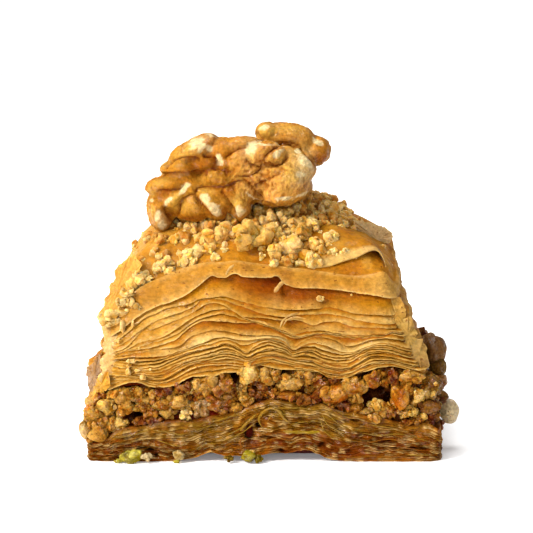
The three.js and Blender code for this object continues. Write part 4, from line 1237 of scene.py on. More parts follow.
def base_edge(sheet, seed):
    """A soaked sheet's edge: its places, the outward direction there, and how far it stands out."""
    place, out = edge_points(BASE, BASE_AROUND)
    x, y = place
    front = 1 - smooth_step((y - BASE["front"]) / FRONT_FADE)
    here = raised(place, np.full(len(x), 7.0 * seed))
    loose = 4 * sheet["level"] * (1 - sheet["level"])
    elsewhere = sheet["level"] * edge_height("base", x, y)
    elsewhere = elsewhere + loose * waves(here, (0.5, 6, seed + 400), (0.25, 2, seed + 430))
    own = line_through(sheet["line"], x) + loose * waves(here, (0.3, 2.6, seed + 450), (0.16, 1, seed))
    z = np.maximum(lerp(elsewhere, own, front) + 0.06 * noise(here, 0.5, seed + 470), 0.02)
    reach = waves(here, (0.26, 5, seed + 500), (0.26, 1.4, seed + 520), (0.12, 0.6, seed)) - 0.12
    return {"place": place, "z": z, "out": out, "reach": reach}


def base_ring(edge, above, tint, seed):
    """One soaked sheet's outer part, folded once on its way down to its edge."""
    place, z, out = edge["place"], edge["z"], edge["out"]
    gap = np.maximum(above["z"] - z, 0.1)
    bottom = place + out * edge["reach"]
    top = above["place"] + above["out"] * (above["reach"] - 0.14 - 0.1 * gap)
    deep = top - out * BASE_HIDDEN
    fold = 0.5 + 0.5 * noise(raised(place, z), 2.5, seed + 530)
    points = np.stack([raised(*row) for row in (
        (bottom - out * 0.02, z),
        (bottom + out * 0.03, z + np.minimum(0.12, 0.25 * gap)),
        (lerp(bottom, top, 0.4) - out * 0.14 * fold, z + 0.38 * gap),
        (lerp(bottom, top, 0.5) + out * 0.14 * fold, z + 0.5 * gap),
        (lerp(bottom, top, 0.8) - out * 0.06, z + 0.76 * gap),
        (top, z + gap + 0.05),
        (deep, z + gap + 0.2),
        (deep, z + gap),
        (lerp(bottom, top, 0.5) - out * 0.3, z + 0.45 * gap),
        (bottom - out * 0.22, z + 0.02),
    )])
    opening = base_opening(points)
    points = crumpled(points)
    points[..., 1] += opening
    # Pale rows at the edge and on the fold: painted wet highlight. Dark rows in the fold and in the hidden
    # part behind the edge: painted shade.
    pale = np.array([0.8, 0.7, 0, 0.75, 0.1, 0, 0, 0, 0.1, 0.4])[:, None]
    dark = np.array([0, 0, 0.35, 0, 0.15, 0.45, 0.9, 0.9, 0.5, 0.2])[:, None]
    tints = mottled(plain(tint, points), points, (SOAKED, 0.8, 0.2, 1.5, 3, seed + 540),
                    (AMBER, 0.6, 0, 1.4, 2, seed + 545))
    for px, py, half_x, half_z, colour, weight in BASE_PATCHES:
        (spot,) = on_base([(px, py)])
        tints = blend(tints, colour, weight * near_spot(points, *spot, half_x, half_z))
    tints = blend(tints, STRAW_SHEEN, pale * patchy(points, 0.1, 1.8, 1.1, seed + 560))
    tints = mottled(tints, points * (1, 1, 2), (PEAT, 0.3, -0.3, 2, 1.6, seed + 570))
    tints = blend(tints, PEAT, dark)
    # Near black in the openings: painted shadow.
    return ring_mesh(points, blend(tints, HOLE_SHADE, np.clip(opening, 0, 1)))


def base_details():
    """The sheets' edges that stand out, and the small crumbs at the base's foot."""
    rng = np.random.default_rng(SEEDS["foot"])
    parts = []
    for k, (line, half, tint) in enumerate(BASE_EDGES):
        path = at_depth(*np.array(line, float).T, BASE_FRONT - 0.02)
        parts.append(strand(crumpled(path), 0.6 * half / PX_PER_MM, tint, 900 + 20 * k, flat=0.6))
    for px, py, half_x, half_y, tint in FOOT_CRUMBS:
        centre = at_depth(px, py, BASE_FRONT - 0.7)
        half = 1.15 * traced_half(half_x, half_y, shallow=True)
        centre[2] = max(centre[2], 0.75 * half[2])
        parts.append(nut_piece(centre, half, tint, rng, 4, 0.4))
    return joined(parts)


def base_core():
    """What fills the base behind its sheets' edges; its foot lifts off the table at the front as they do."""
    edge, out = edge_points(BASE, CORE_AROUND)
    rings = []
    for share, is_top in ((0.5, 0), (0.9, 0), (1, 0), (1, 1), (0.9, 1), (0.6, 1), (0.3, 1)):
        place = (edge - out * 1.3) * share
        foot = 0.05 + 2.4 * bell((place[1] - BASE["front"]) / 3)
        rings.append(raised(place, base_surface(*place) - 0.25 if is_top else foot))
    points = np.stack(rings)
    # Dark peat at its foot and sides, and soaked brown on top: the dark is painted shade for the recess
    # behind the sheets.
    tints = np.full_like(points, PEAT)
    tints[4:] = SOAKED
    return with_caps(points, tints)


def make_lower_stack(pastry):
    _, rings = sheet_rings(sheet_stack(BASE_SHEETS, on_base, AMBER), base_edge, base_ring)
    make_piece("soaked_sheets", joined(rings), pastry, ["bottom_pastry"], crease=SHEET_CREASE)
    make_piece("soaked_core", base_core(), pastry)
    make_piece("base_details", base_details(), pastry)


# ---------------------------------------------------------------- the filling

# The pieces of the cut face: pixel, half-sizes in pixels, and kind.
FACE_CHUNKS = [
    (183, 387, 9, 5, "brown"), (205, 385, 13, 9, "pale"), (223, 384, 8, 11, "tan"), (243, 388, 6, 7, "pale"),
    (232, 387, 6, 6, "brown"), (251, 373, 11, 10, "yellow"), (268, 374, 9, 8, "pale"),
    (277, 376, 5, 6, "tan"), (291, 382, 11, 8, "pale"), (309, 378, 8, 8, "pale"), (318, 381, 7, 8, "tan"),
    (300, 374, 5, 4, "pale"), (272, 393, 9, 5, "tan"), (288, 396, 13, 6, "tan"), (305, 399, 12, 6, "brown"),
    (318, 396, 6, 8, "brown"), (335, 379, 6, 5, "brown"), (337, 394, 15, 13, "amber"),
    (354, 387, 12, 9, "golden"), (358, 398, 6, 6, "pale"), (374, 378, 10, 7, "tan"), (384, 382, 5, 5, "tan"),
    (393, 375, 6, 8, "brown"), (410, 377, 12, 6, "golden"), (399, 395, 10, 14, "amber"),
    (418, 395, 7, 8, "yellow"), (376, 404, 9, 6, "yellow"), (374, 414, 12, 6, "pale"),
    (387, 411, 9, 8, "golden"), (405, 411, 8, 8, "pale"), (413, 412, 5, 5, "yellow"),
    (408, 424, 8, 5, "brown"), (417, 422, 7, 5, "tan"), (355, 409, 9, 6, "tan"), (120, 397, 9, 9, "golden"),
    (134, 393, 8, 7, "golden"), (141, 400, 6, 7, "golden"), (108, 407, 9, 8, "yellow"),
    (122, 409, 8, 8, "golden"), (93, 412, 10, 8, "golden"), (88.5, 424, 5.5, 8.5, "golden"),
    (100, 420, 9, 7, "golden"), (97, 433, 12, 10, "golden"), (112, 421, 8, 7, "golden"),
    (121, 424, 7, 7, "yellow"), (162, 392, 9, 6, "brown"), (165, 403, 8, 6, "tan"), (176, 401, 12, 7, "pale"),
    (168, 412, 8, 6, "pale"), (187, 411, 6, 10, "ivory"), (203, 408, 9, 9, "grey"), (214, 402, 8, 8, "tan"),
    (228, 403, 10, 8, "tan"), (237, 407, 6, 5, "golden"), (247, 400, 7, 7, "pale"), (198, 393, 6, 5, "tan"),
    (151, 413, 6, 5, "tan"), (155, 421, 7, 5, "brown"), (145, 407, 6, 6, "tan"), (434, 386, 8, 10, "shade"),
    (432, 402, 8, 9, "shade"), (430, 416, 8, 8, "brown"), (441, 398, 6, 7, "shade"),
    (438, 425, 6, 6, "brown"), (262, 386, 6, 5, "brown"), (255, 394, 8, 6, "brown"), (222, 411, 6, 5, "tan"),
    (330, 405, 6, 5, "amber"), (345, 404, 8, 5, "brown"), (142, 421, 8, 5, "brown"),
]
# The large smooth pieces at the filling's right and left ends: pixel, half-sizes in pixels, y in mm and tint.
SMOOTH_CHUNKS = [
    (429, 343, 9, 11, -13.0, srgb(160, 126, 92)), (435, 352, 11, 16, -14.0, srgb(138, 102, 66)),
    (438, 368, 9, 10, -15.0, srgb(142, 110, 58)), (449, 412, 10, 12, -14.5, srgb(244, 224, 184)),
    (84.5, 429, 5.5, 9, -23.6, srgb(226, 184, 112)), (98, 435, 10.5, 7.5, -24.0, srgb(226, 172, 86)),
    (104, 405, 7, 6, -24.2, srgb(232, 188, 100)), (126, 404, 5, 5, -24.2, srgb(226, 170, 84)),
]
# Places in the filling where a hollow shows between its pieces, pushed in and painted dark as shadow: pixel
# and half-sizes in mm.
FILLING_HOLLOWS = [
    (235, 377, 1.2, 0.8), (378, 390, 2.6, 1.6), (370, 378, 1.4, 1.0), (388, 398, 1.8, 1.4),
    (322, 380, 0.6, 0.8), (366, 394, 1.6, 1.4), (140, 417, 2.6, 1.2), (392, 383, 1.0, 1.2),
    (284, 372, 0.9, 0.5), (345, 412, 1.2, 0.8),
]
# How far forward its larger pieces, the hollows between them, and the bits on them lie.
FILLING_FRONT, HOLLOW_Y, BITS_Y = -22.9, -23, -23.4
CORNER_PX = 424  # right of this pixel the filling runs back round the corner, in its own shade
CORNER_SLOPE = 1.6
MIXED_KINDS = ["tan", "tan", "golden", "pale", "brown", "tan", "amber", "yellow"]
LITTLE_GROWN = ("yellow", "amber", "grey")  # kinds of smoother pieces, with few smaller ones grown on
BIG = 1.6  # half-size in mm from which a piece gets the finest mesh
BITS_BETWEEN, BITS_ON_TOP = 360, 260
SIDE_ROWS = (0.22, 0.78)  # how high the two rows of larger pieces lie in the filling's sides
SHADED_X, SHADED = 26, (0.55, 0.55, 0.62)  # right of this x the side lies in its own shade


def past_corner(px):
    """How far back the filling lies at a pixel, for having turned the corner."""
    return CORNER_SLOPE * max(px - CORNER_PX, 0) / PX_PER_MM


def filling_hollow(points):
    """How much a dark hollow shows near points of the front, as 0 to 1."""
    near = np.zeros(points.shape[:-1])
    for px, py, half_x, half_z in FILLING_HOLLOWS:
        x, _, z = at_depth(px, py, HOLLOW_Y)
        near = np.maximum(near, near_spot(points, x, z, half_x, half_z))
    return near * (points[..., 1] < -15)


def filling_core():
    """The sticky middle of the filling, behind its pieces: fine crumbs pressed together."""
    edge, out = edge_points(UPPER_FOOT, directions((300, 100, 100, 100)))
    rings = []
    for share, above in [(0.4, 0), (0.8, 0), *((1, v) for v in np.linspace(0, 1, 22)), (0.8, 1), (0.4, 1)]:
        place = (edge - out * 1.7) * share
        rings.append(raised(place, lerp(base_surface(*place) - 0.2, upper_surface(0, *place) + 0.3, above)))
    points = np.stack(rings)
    lumps = waves(points, (0.5, 1.3, 71), (0.35, 0.65, 72)) + 0.2 * np.abs(noise(points, 0.32, 73))
    moved = lumps - 2.2 * filling_hollow(points)
    points[2:-2] += (raised(out, np.zeros(out.shape[1])) * moved[..., None])[2:-2]
    # Tan on its lumps, darker in the dips between them as painted shade, and near black in the hollows as
    # painted shadow.
    tints = blend(plain(srgb(136, 80, 30), points), srgb(196, 142, 66), smooth_step(1.2 * lumps))
    tints = blend(tints, srgb(84, 34, 8), smooth_step(0.2 - 1.5 * lumps))
    return with_caps(points, blend(tints, srgb(34, 12, 4), filling_hollow(points) * 0.95))


def face_chunks(rng):
    """The pieces that are told apart on the cut face, and the smooth ones at its ends."""
    parts = []
    for px, py, half_x, half_y, kind in FACE_CHUNKS:
        y = FILLING_FRONT - 0.9 * rng.random() + past_corner(px)
        half = 1.15 * traced_half(half_x, half_y)
        tint = NUT[kind] * (0.9 if px > CORNER_PX else 1)
        grown = 3 if kind in LITTLE_GROWN else 6
        parts += nut_cluster(at_depth(px, py, y), half, tint, rng, 4 if half.max() > BIG else 3, grown)
    for k, (px, py, half_x, half_y, y, tint) in enumerate(SMOOTH_CHUNKS):
        parts.append(nut_lump(at_depth(px, py, y), traced_half(half_x, half_y), tint, k))
    return parts


def face_bits(rng):
    """Small pieces on the cut face: some between the larger ones, then some on them."""
    parts = []
    for _ in range(BITS_BETWEEN):
        x = lerp(-29, 28.5, rng.random())
        low, high = line_through(FRONT["base"], x), line_through(FRONT["foot"], x)
        z = lerp(low + 0.2, high - 0.2, rng.random())
        half = rng.uniform(0.3, 0.85)
        centre = np.array([x, FILLING_FRONT - 0.5 * rng.random(), z])
        if filling_hollow(centre) < 0.35:
            tint = NUT[MIXED_KINDS[rng.integers(len(MIXED_KINDS))]]
            parts.append(nut_piece(centre, half, tint, rng, 3 if half > 0.65 else 2, 0.3))
    for _ in range(BITS_ON_TOP):
        px, py, half_x, half_y, kind = FACE_CHUNKS[rng.integers(len(FACE_CHUNKS))]
        angle, far = rng.uniform(0, 2 * math.pi), rng.uniform(0.2, 1.05)
        px, py = px + far * half_x * math.cos(angle), py + far * half_y * math.sin(angle)
        y = BITS_Y - 0.11 * half_y * math.sqrt(max(1 - far**2, 0)) + past_corner(px)
        tint = NUT[kind] * rng.uniform(0.8, 1.25) * (0.5 if px > CORNER_PX else 1)
        parts.append(nut_piece(at_depth(px, py, y), rng.uniform(0.15, 0.45), tint, rng, 2, 0))
    return parts


def side_chunks(rng):
    """The pieces at the other three sides: two rows of larger ones, and small ones at any height."""
    parts = []
    edge, out = edge_points(BASE, directions((1, 44, 48, 44)))
    for at, outward in list(zip(edge.T, out.T))[1:]:
        for row in range(3):
            large = row < len(SIDE_ROWS)
            half = rng.uniform(1.0, 2.1) if large else rng.uniform(0.5, 0.9)
            inset = rng.uniform(1.2, 2.2) + (0.9 - 0.25 * half)
            place = at - outward * inset + rng.normal(0, 0.4, 2)
            low, high = base_surface(*place), upper_surface(0, *place)
            level = (*SIDE_ROWS, rng.random())[row] + 0.1 * rng.normal()
            tint = NUT[MIXED_KINDS[rng.integers(len(MIXED_KINDS))]]
            if place[0] > SHADED_X:
                tint = tint * SHADED
            centre = (*place, lerp(low + 0.45 * half, high - 0.5 * half, level))
            size = half * rng.uniform(0.9, 1.25, 3)
            parts.append(nut_piece(centre, size, tint, rng, 3 if large else 2, 0.3))
    return parts


def make_filling(nuts):
    rng = np.random.default_rng(SEEDS["filling"])
    make_piece("walnut_chunks", joined(face_chunks(rng)), nuts, ["walnut_filling"], crease=NUT_CREASE)
    make_piece("walnut_bits", joined(face_bits(rng)), nuts, crease=NUT_CREASE)
    make_piece("side_chunks", joined(side_chunks(rng)), nuts, crease=NUT_CREASE)
    make_piece("filling_core", filling_core(), nuts)


# ---------------------------------------------------------------- the heap of nuts

# The heap's crumbs that are told apart: pixel, half-sizes in pixels, and kind.
HEAP_CRUMBS = [
    (246, 240, 12, 17, "yellow"), (262, 240, 11, 10, "yellow"), (275, 254, 8, 9, "butter"),
    (291, 245, 11, 11, "ivory"), (306, 255, 9, 7, "yellow"), (314, 262, 7, 8, "ivory"),
    (289, 260, 8, 5, "toasted"), (330, 240, 9, 7, "ivory"), (280, 240, 6, 6, "butter"),
    (272, 232, 8, 8, "butter"), (262, 257, 4, 4, "ivory"), (273, 264, 5, 4, "ivory"),
    (301, 264, 5, 4, "ivory"), (303, 233, 8, 8, "butter"), (315, 245, 7, 8, "butter"),
    (322, 252, 6, 6, "butter"), (310, 225, 8, 7, "ivory"), (295, 224, 8, 7, "butter"),
    (268, 222, 8, 8, "ivory"), (284, 212, 8, 7, "butter"), (332, 210, 9, 7, "butter"),
    (320, 202, 8, 8, "toasted"), (308, 200, 8, 7, "toasted"), (342, 220, 6, 5, "butter"),
    (347, 213, 7, 5, "toasted"), (330, 196, 8, 5, "toasted"), (339, 203, 7, 5, "toasted"),
    (250, 225, 10, 8, "butter"), (222, 235, 9, 10, "butter"), (209, 240, 9, 9, "butter"),
    (212, 228, 7, 7, "toasted"), (199, 240, 6, 6, "butter"), (185, 237, 8, 7, "toasted"),
    (173, 240, 6, 6, "butter"), (197, 252, 9, 7, "ivory"), (207, 250, 6, 7, "butter"),
    (185, 260, 6, 8, "ivory"), (193, 262, 6, 5, "ivory"), (165, 262, 9, 8, "ivory"),
    (159, 268, 6, 6, "ivory"), (169, 270, 6, 6, "ivory"), (215, 258, 4, 5, "ivory"),
    (161, 240, 7, 6, "toasted"), (152, 238, 6, 7, "toasted"), (224, 250, 4, 3, "ivory"),
    (187, 251, 3, 3, "ivory"), (140, 279, 8, 7, "ivory"), (133, 287, 7, 8, "yellow"),
    (149, 280, 4, 4, "ivory"), (334, 253, 6, 4, "ivory"), (346, 254, 6, 5, "ivory"),
    (144, 260, 2, 2, "ivory"), (355, 257, 3, 2, "ivory"), (180, 253, 3, 3, "ivory"),
]
HEAP_KINDS = ["ivory", "butter", "ivory", "yellow", "toasted", "cream"]
HEAP_BRIGHT = 1.1  # the heap lies in full light, so its tints are lighter than the filling's
HEAP_COUNT = 480
STRAYS = 90


def on_heap(share, angle):
    """The place on the heap's footprint at a share of the way out."""
    out_x, out_y = HEAP["half_x"] * share * np.cos(angle), HEAP["half_y"] * share * np.sin(angle)
    return HEAP["x"] + out_x, HEAP["y"] + out_y


def heap_core():
    """The fine crumbs under the heap's own pieces."""
    angles = np.linspace(0, 2 * math.pi, 240, endpoint=False)
    rings = []
    for share in (0.99, 1.0, 0.985, *np.linspace(0.96, 0.02, 44)):
        place = on_heap(share, angles)
        rings.append(raised(place, heap_surface(*place) - (0.25 if rings else 1.15)))
    points = np.stack(rings)
    lumps = waves(points, (0.35, 1.1, 81), (0.3, 0.55, 82)) + 0.15 * np.abs(noise(points, 0.3, 83))
    points[2:, :, 2] += lumps[2:]
    # Orange in the dips between its lumps, as painted shade, and ivory on the lumps.
    tints = blend(plain(srgb(206, 136, 52), points), NUT["ivory"], 0.8 * smooth_step(0.2 + 1.5 * lumps))
    return with_caps(points, tints, bottom=False)


def traced_crumbs(rng):
    """The heap's crumbs that are told apart."""
    parts = []
    for px, py, half_x, half_y, kind in HEAP_CRUMBS:
        half = traced_half(half_x, half_y)
        centre = on_surface(px, py, heap_surface) - 0.25 * half[1] * FORWARD
        detail, grown = (4, 3) if half.max() > BIG else (3, 6)
        parts += nut_cluster(centre, half * 1.2, HEAP_BRIGHT * NUT[kind], rng, detail, grown)
    return parts


def strewn_crumbs(rng):
    """The rest of the heap, and then strays on the crown."""
    parts = []
    for i in range(HEAP_COUNT):
        share = math.sqrt((i + 0.5) / HEAP_COUNT) * 1.03
        x, y = on_heap(share, GOLDEN_ANGLE * i)
        x, y = x + 0.3 * rng.normal(), y + 0.3 * rng.normal()
        half = rng.uniform(0.45, 1.15) * (1 - 0.25 * share)
        centre = (x, y, heap_surface(x, y) + 0.35 * half)
        tint = HEAP_BRIGHT * NUT[HEAP_KINDS[rng.integers(len(HEAP_KINDS))]]
        detail = 3 if y < 4 and half > 0.5 else 2
        parts.append(nut_piece(centre, half * rng.uniform(0.85, 1.3, 3), tint, rng, detail, 0.2))
    for _ in range(STRAYS):
        angle, far = rng.uniform(0, 2 * math.pi), rng.uniform(1.0, 1.45)
        x, y = on_heap(far, angle)
        share, _, _ = towards_edge(UPPER_CROWN, x, y)
        if share > 0.93 or (y < -8 and x > -12):
            continue
        half = rng.uniform(0.3, 0.95)
        tint = NUT[HEAP_KINDS[rng.integers(len(HEAP_KINDS))]]
        parts.append(nut_piece((x, y, crown_surface(x, y) + 0.45 * half), half, tint, rng, 2, 0.3))
    return parts


def make_topping(nuts):
    rng = np.random.default_rng(SEEDS["heap"])
    make_piece("heap_crumbs", joined(traced_crumbs(rng)), nuts, ["nut_topping"], crease=NUT_CREASE)
    make_piece("fine_crumbs", joined(strewn_crumbs(rng)), nuts, crease=NUT_CREASE)
    make_piece("heap_core", heap_core(), nuts)


# ---------------------------------------------------------------- the walnut half

WALNUT_Y = -8
WALNUT_VOXEL = 0.26  # how finely its lobes are grown together
SKIN = srgb(204, 138, 50)
SKIN_DARK = srgb(142, 64, 6)
SKIN_BROWN = srgb(148, 76, 10)
# A paler skin tone: its own in the random mottling, painted highlight in the tones and on the wrinkles.
SKIN_LIGHT = srgb(226, 182, 88)
PAPER = srgb(240, 178, 96)
PITH = srgb(238, 206, 148)
FLESH = srgb(250, 228, 178)

# Its lobes: the pixel, half-sizes in pixels and slant in degrees as seen from the front, then how far the
# middle lies behind WALNUT_Y and half the depth, in mm.
LOBES = [
    (234, 179, 62, 25, -10, 0.3, 5.2), (193, 150, 28, 10.5, -27, -0.2, 4.3), (184, 167, 25, 9, -5, -0.2, 4.2),
    (205, 160, 19, 16, 0, -0.2, 4.0), (173, 184, 28, 11, -9, -0.3, 4.2), (160, 211, 14, 20.5, -9, -0.6, 4.2),
    (190, 192, 40, 24, -6, -0.6, 4.3), (177, 196, 19, 8.5, -44, -2.2, 3.1), (193, 207, 23, 14, -5, -1.6, 3.7),
    (219, 177, 19, 11, 4, -2.2, 3.2), (226, 192, 36, 20, 0, -0.8, 4.6), (212, 203, 12, 19.5, -34, -2.8, 3.2),
    (240, 203, 11, 17, -6, -2.4, 3.3), (240, 163, 29, 28, -15, -0.4, 4.4), (223, 152, 18, 15, 0, -0.2, 4.1),
    (265, 153, 19.5, 12, -4, -3.0, 2.8), (283, 177, 28, 30, 18, -0.5, 5.2), (300, 166, 17, 16, 48, 0.1, 4.6),
    (281, 193, 27, 12, -12, -0.8, 4.5), (284, 136, 28, 13.5, 2, 4.5, 4.4), (300, 142, 19, 16, 30, 4.4, 4.2),
    (316, 151, 14.5, 15.5, 15, 4.2, 4.0), (267, 131, 12, 8.5, -14, 4.0, 4.0), (262, 148, 18, 9, 0, 1.4, 3.6),
    (183, 193, 26, 21, -30, 4.6, 4.6), (203, 167, 29, 17, -20, 5.4, 4.8), (226, 198, 28, 20, 14, 6.2, 4.6),
    (249, 172, 30, 21, -24, 6.6, 4.6), (284, 184, 28, 25, 10, 5.6, 4.8),
]
# Broad tones of its skin: pixel, half-sizes in pixels, slant in degrees, colour and weight. They are partly
# the skin's own tones and partly painted light and shade: the SKIN_LIGHT ones are painted highlights on the
# lobes,
# PAPER is partly the papery skin, partly painted light on the right-hand lobe, and the SKIN_BROWN and
# SKIN_DARK ones are partly the skin's dark lines, partly painted shade under the knobs and lobes.
TONES = [
    (282, 180, 30, 24, 0, PAPER, 0.95), (258, 188, 14, 12, 0, PAPER, 0.8), (242, 180, 10, 8, 0, PAPER, 0.7),
    (240, 158, 16, 10, -10, PAPER, 0.3), (238, 144, 16, 5, -10, PAPER, 0.3),
    (303, 163, 9, 16, -20, PITH, 0.95), (300, 178, 8, 8, 0, PITH, 0.8), (306, 172, 6, 10, -10, PITH, 0.7),
    (206, 205, 15, 9, 35, SKIN_LIGHT, 0.6), (276, 136, 22, 8, 0, PAPER, 0.3),
    (250, 150, 8, 10, 20, PITH, 0.6), (240, 208, 9, 11, 0, PAPER, 0.8), (268, 160, 14, 6, 0, PAPER, 0.4),
    (200, 144, 12, 7, -25, PITH, 0.5), (214, 162, 9, 9, 0, SKIN_DARK, 0.4),
    (196, 168, 16, 4, -5, SKIN_BROWN, 0.6), (188, 180, 18, 5, -6, SKIN_DARK, 0.6),
    (168, 190, 12, 5, -10, SKIN_BROWN, 0.5), (156, 199, 9, 4, 0, SKIN_BROWN, 0.5),
    (226, 178, 12, 7, 0, SKIN_BROWN, 0.6), (232, 196, 5, 10, -20, SKIN_BROWN, 0.35),
    (222, 192, 9, 4, 20, SKIN_BROWN, 0.4), (188, 219, 18, 3, -10, SKIN_BROWN, 0.8),
    (172, 214, 6, 9, -20, SKIN_BROWN, 0.6), (199, 204, 4, 10, -25, SKIN_BROWN, 0.4),
    (322, 160, 11, 6, 0, SKIN_BROWN, 0.8), (303, 141, 8, 9, 30, SKIN_BROWN, 0.4),
    (207, 143, 4, 3, 0, SKIN_BROWN, 0.8), (214, 136, 4, 3, 30, SKIN_BROWN, 0.7),
    (276, 207, 14, 2, 0, SKIN_BROWN, 0.6), (251, 182, 4, 4, 0, SKIN_DARK, 0.5),
    (305, 185, 3, 8, 20, SKIN_BROWN, 0.6), (187, 151, 12, 5, -25, SKIN_LIGHT, 0.8),
    (160, 181, 9, 5, -15, SKIN_LIGHT, 0.6), (178, 196, 10, 5, -45, SKIN_LIGHT, 0.9),
    (151, 212, 5, 9, 0, SKIN_LIGHT, 0.6), (204, 191, 8, 4, 0, SKIN_LIGHT, 0.8),
    (190, 207, 9, 7, 0, SKIN_LIGHT, 0.2), (288, 172, 7, 13, 0, SKIN_LIGHT, 0.7),
    (266, 131, 10, 6, 0, SKIN_LIGHT, 0.9), (210, 172, 6, 4, 0, SKIN_LIGHT, 0.5),
    (150, 192, 5, 5, 0, SKIN_LIGHT, 0.6), (238, 203, 7, 8, 0, SKIN_LIGHT, 0.8),
    (180, 206, 8, 6, -20, SKIN_LIGHT, 0.6), (290, 128, 12, 5, 10, SKIN_LIGHT, 0.5),
    (206, 178, 12, 5, 0, SKIN_LIGHT, 0.4), (165, 163, 8, 5, -40, SKIN_LIGHT, 0.6),
    (300, 150, 7, 6, 40, SKIN_LIGHT, 0.8), (162, 221, 6, 8, -15, PITH, 0.6),
]
# Where the skin has come off and the pale flesh shows: pixel, half-sizes in pixels and slant in degrees.
BARE = [
    (196, 142, 8, 4.5, -28), (209, 133.5, 7, 2.8, 15), (202, 147.5, 5, 2.6, -60), (209, 148, 3, 2.6, 0),
    (219.5, 160, 3.2, 4.6, -20), (183.5, 189, 6.5, 3.2, -48), (168, 202, 5, 2.2, -48), (206, 198.5, 5, 4, 30),
    (214, 208.5, 9, 5, 42), (158, 217, 3.2, 5.5, 10), (162, 226, 4, 5, -20), (239.5, 212, 4.6, 4.6, 0),
    (251, 148, 4.5, 6.5, 35), (262, 143, 11, 2.2, 3), (278, 153, 5.5, 2.4, -38), (298, 152, 3.4, 2.4, 30),
    (302, 160, 3.5, 5, -30), (309, 165, 2.6, 4.4, -30), (300, 174, 5, 3, 0), (286, 198.5, 8, 1.8, -4),
    (301, 195, 5, 1.2, -30), (265, 128, 5, 2.4, -10), (318, 142, 6, 2.4, 30), (252, 197, 8, 0.8, 38),
    (151, 200, 2.4, 1.6, 0),
]
# Creases between its folds, as lines of pixels.
CREASES = [
    [(166, 168), (168, 164), (174, 160), (182, 158.5), (190, 159), (198, 159)],
    [(156, 176), (162, 174.5), (175, 174), (188, 173.5), (200, 173), (206, 171)],
    [(205, 155), (213, 157), (218, 164)], [(204, 174), (207, 170), (214, 167.5), (222, 169), (230, 172)],
    [(197, 192), (197, 188), (203, 186.5), (210, 187), (217, 187), (224, 186.5), (232, 184), (238, 181),
     (246, 180)],
    [(240, 176), (250, 176), (257, 172), (261, 168), (262, 162), (268, 153), (275, 147), (283, 144),
     (296, 147)],
    [(196, 190), (196, 196), (200, 203), (206, 211), (213, 219)],
    [(196, 194), (190, 195), (184, 199), (179, 206), (177, 213), (177, 224)],
    [(165, 208), (170, 215), (176, 221)], [(160, 191), (170, 191), (180, 188), (184, 184)],
    [(262, 163), (272, 165), (282, 163), (287, 157)], [(247, 160), (252, 165), (261, 167)],
    [(300, 147), (307, 154), (313, 161), (317, 167)], [(222, 192), (228, 200), (232, 209), (236, 218)],
    [(243, 178), (250, 184), (256, 192), (262, 200)], [(255, 187), (262, 182), (270, 178), (280, 173)],
    [(253, 204), (262, 202), (272, 206)], [(226, 158), (232, 151), (240, 147), (248, 146)],
    [(257, 133), (260, 138), (266, 141.5), (276, 142.5), (290, 143), (299, 146), (305, 152)],
]
CREASE_WIDTH = 1.0  # in pixels
WRINKLED = (262, 176, 46, 32, 0)  # the part with fine wrinkles, as an oval like those of BARE


def turn(u, v, slant):
    """A place turned by a slant in degrees."""
    c, s = math.cos(math.radians(slant)), math.sin(math.radians(slant))
    return c * u + s * v, c * v - s * u


def walnut_mesh():
    """The lobes grown together: points, their normals and triangles."""
    way, faces = BALLS[4]
    parts = []
    for px, py, half_x, half_z, slant, behind, half_y in LOBES:
        centre = at_depth(px, py, WALNUT_Y + behind)
        px_per_mm = FOCAL_PX / ((centre - EYE) @ FORWARD)
        x, y, z = (way * (half_x / px_per_mm, half_y, half_z / px_per_mm)).T
        x, z = turn(x, z, slant)
        lobe = np.stack([x, y, z], -1) + centre
        parts.append((lobe, faces, lobe))
    points, faces, _ = joined(parts)
    mesh = bpy.data.meshes.new("lobes")
    mesh.from_pydata(points.tolist(), [], faces.tolist())
    lobes = bpy.data.objects.new("lobes", mesh)
    bpy.context.scene.collection.objects.link(lobes)
    remesh = lobes.modifiers.new("remesh", "REMESH")
    remesh.mode = "VOXEL"
    remesh.voxel_size = WALNUT_VOXEL
    rounded = lobes.modifiers.new("rounded", "SMOOTH")
    rounded.factor = 0.5
    rounded.iterations = 8
    result = lobes.evaluated_get(bpy.context.evaluated_depsgraph_get()).to_mesh()
    result.calc_loop_triangles()
    points = np.array([v.co for v in result.vertices])
    normals = np.array([v.normal for v in result.vertices])
    faces = np.array([t.vertices for t in result.loop_triangles])
    lobes.to_mesh_clear()
    bpy.data.objects.remove(lobes)
    return points, normals, faces


def near_line(px, py, line):
    """The distance in pixels from each place to a line of pixels."""
    best = np.full(len(px), 1e9)
    for (ax, ay), (bx, by) in zip(line, line[1:]):
        dx, dy = bx - ax, by - ay
        w = np.clip(((px - ax) * dx + (py - ay) * dy) / (dx * dx + dy * dy), 0, 1)
        best = np.minimum(best, np.hypot(px - ax - w * dx, py - ay - w * dy))
    return best


def in_oval(px, py, oval):
    """How far each place lies from the middle of a slanted oval: 1 at its rim."""
    middle_x, middle_y, half_x, half_y, slant = oval
    u, v = turn(px - middle_x, py - middle_y, slant)
    return np.hypot(u / half_x, v / half_y)


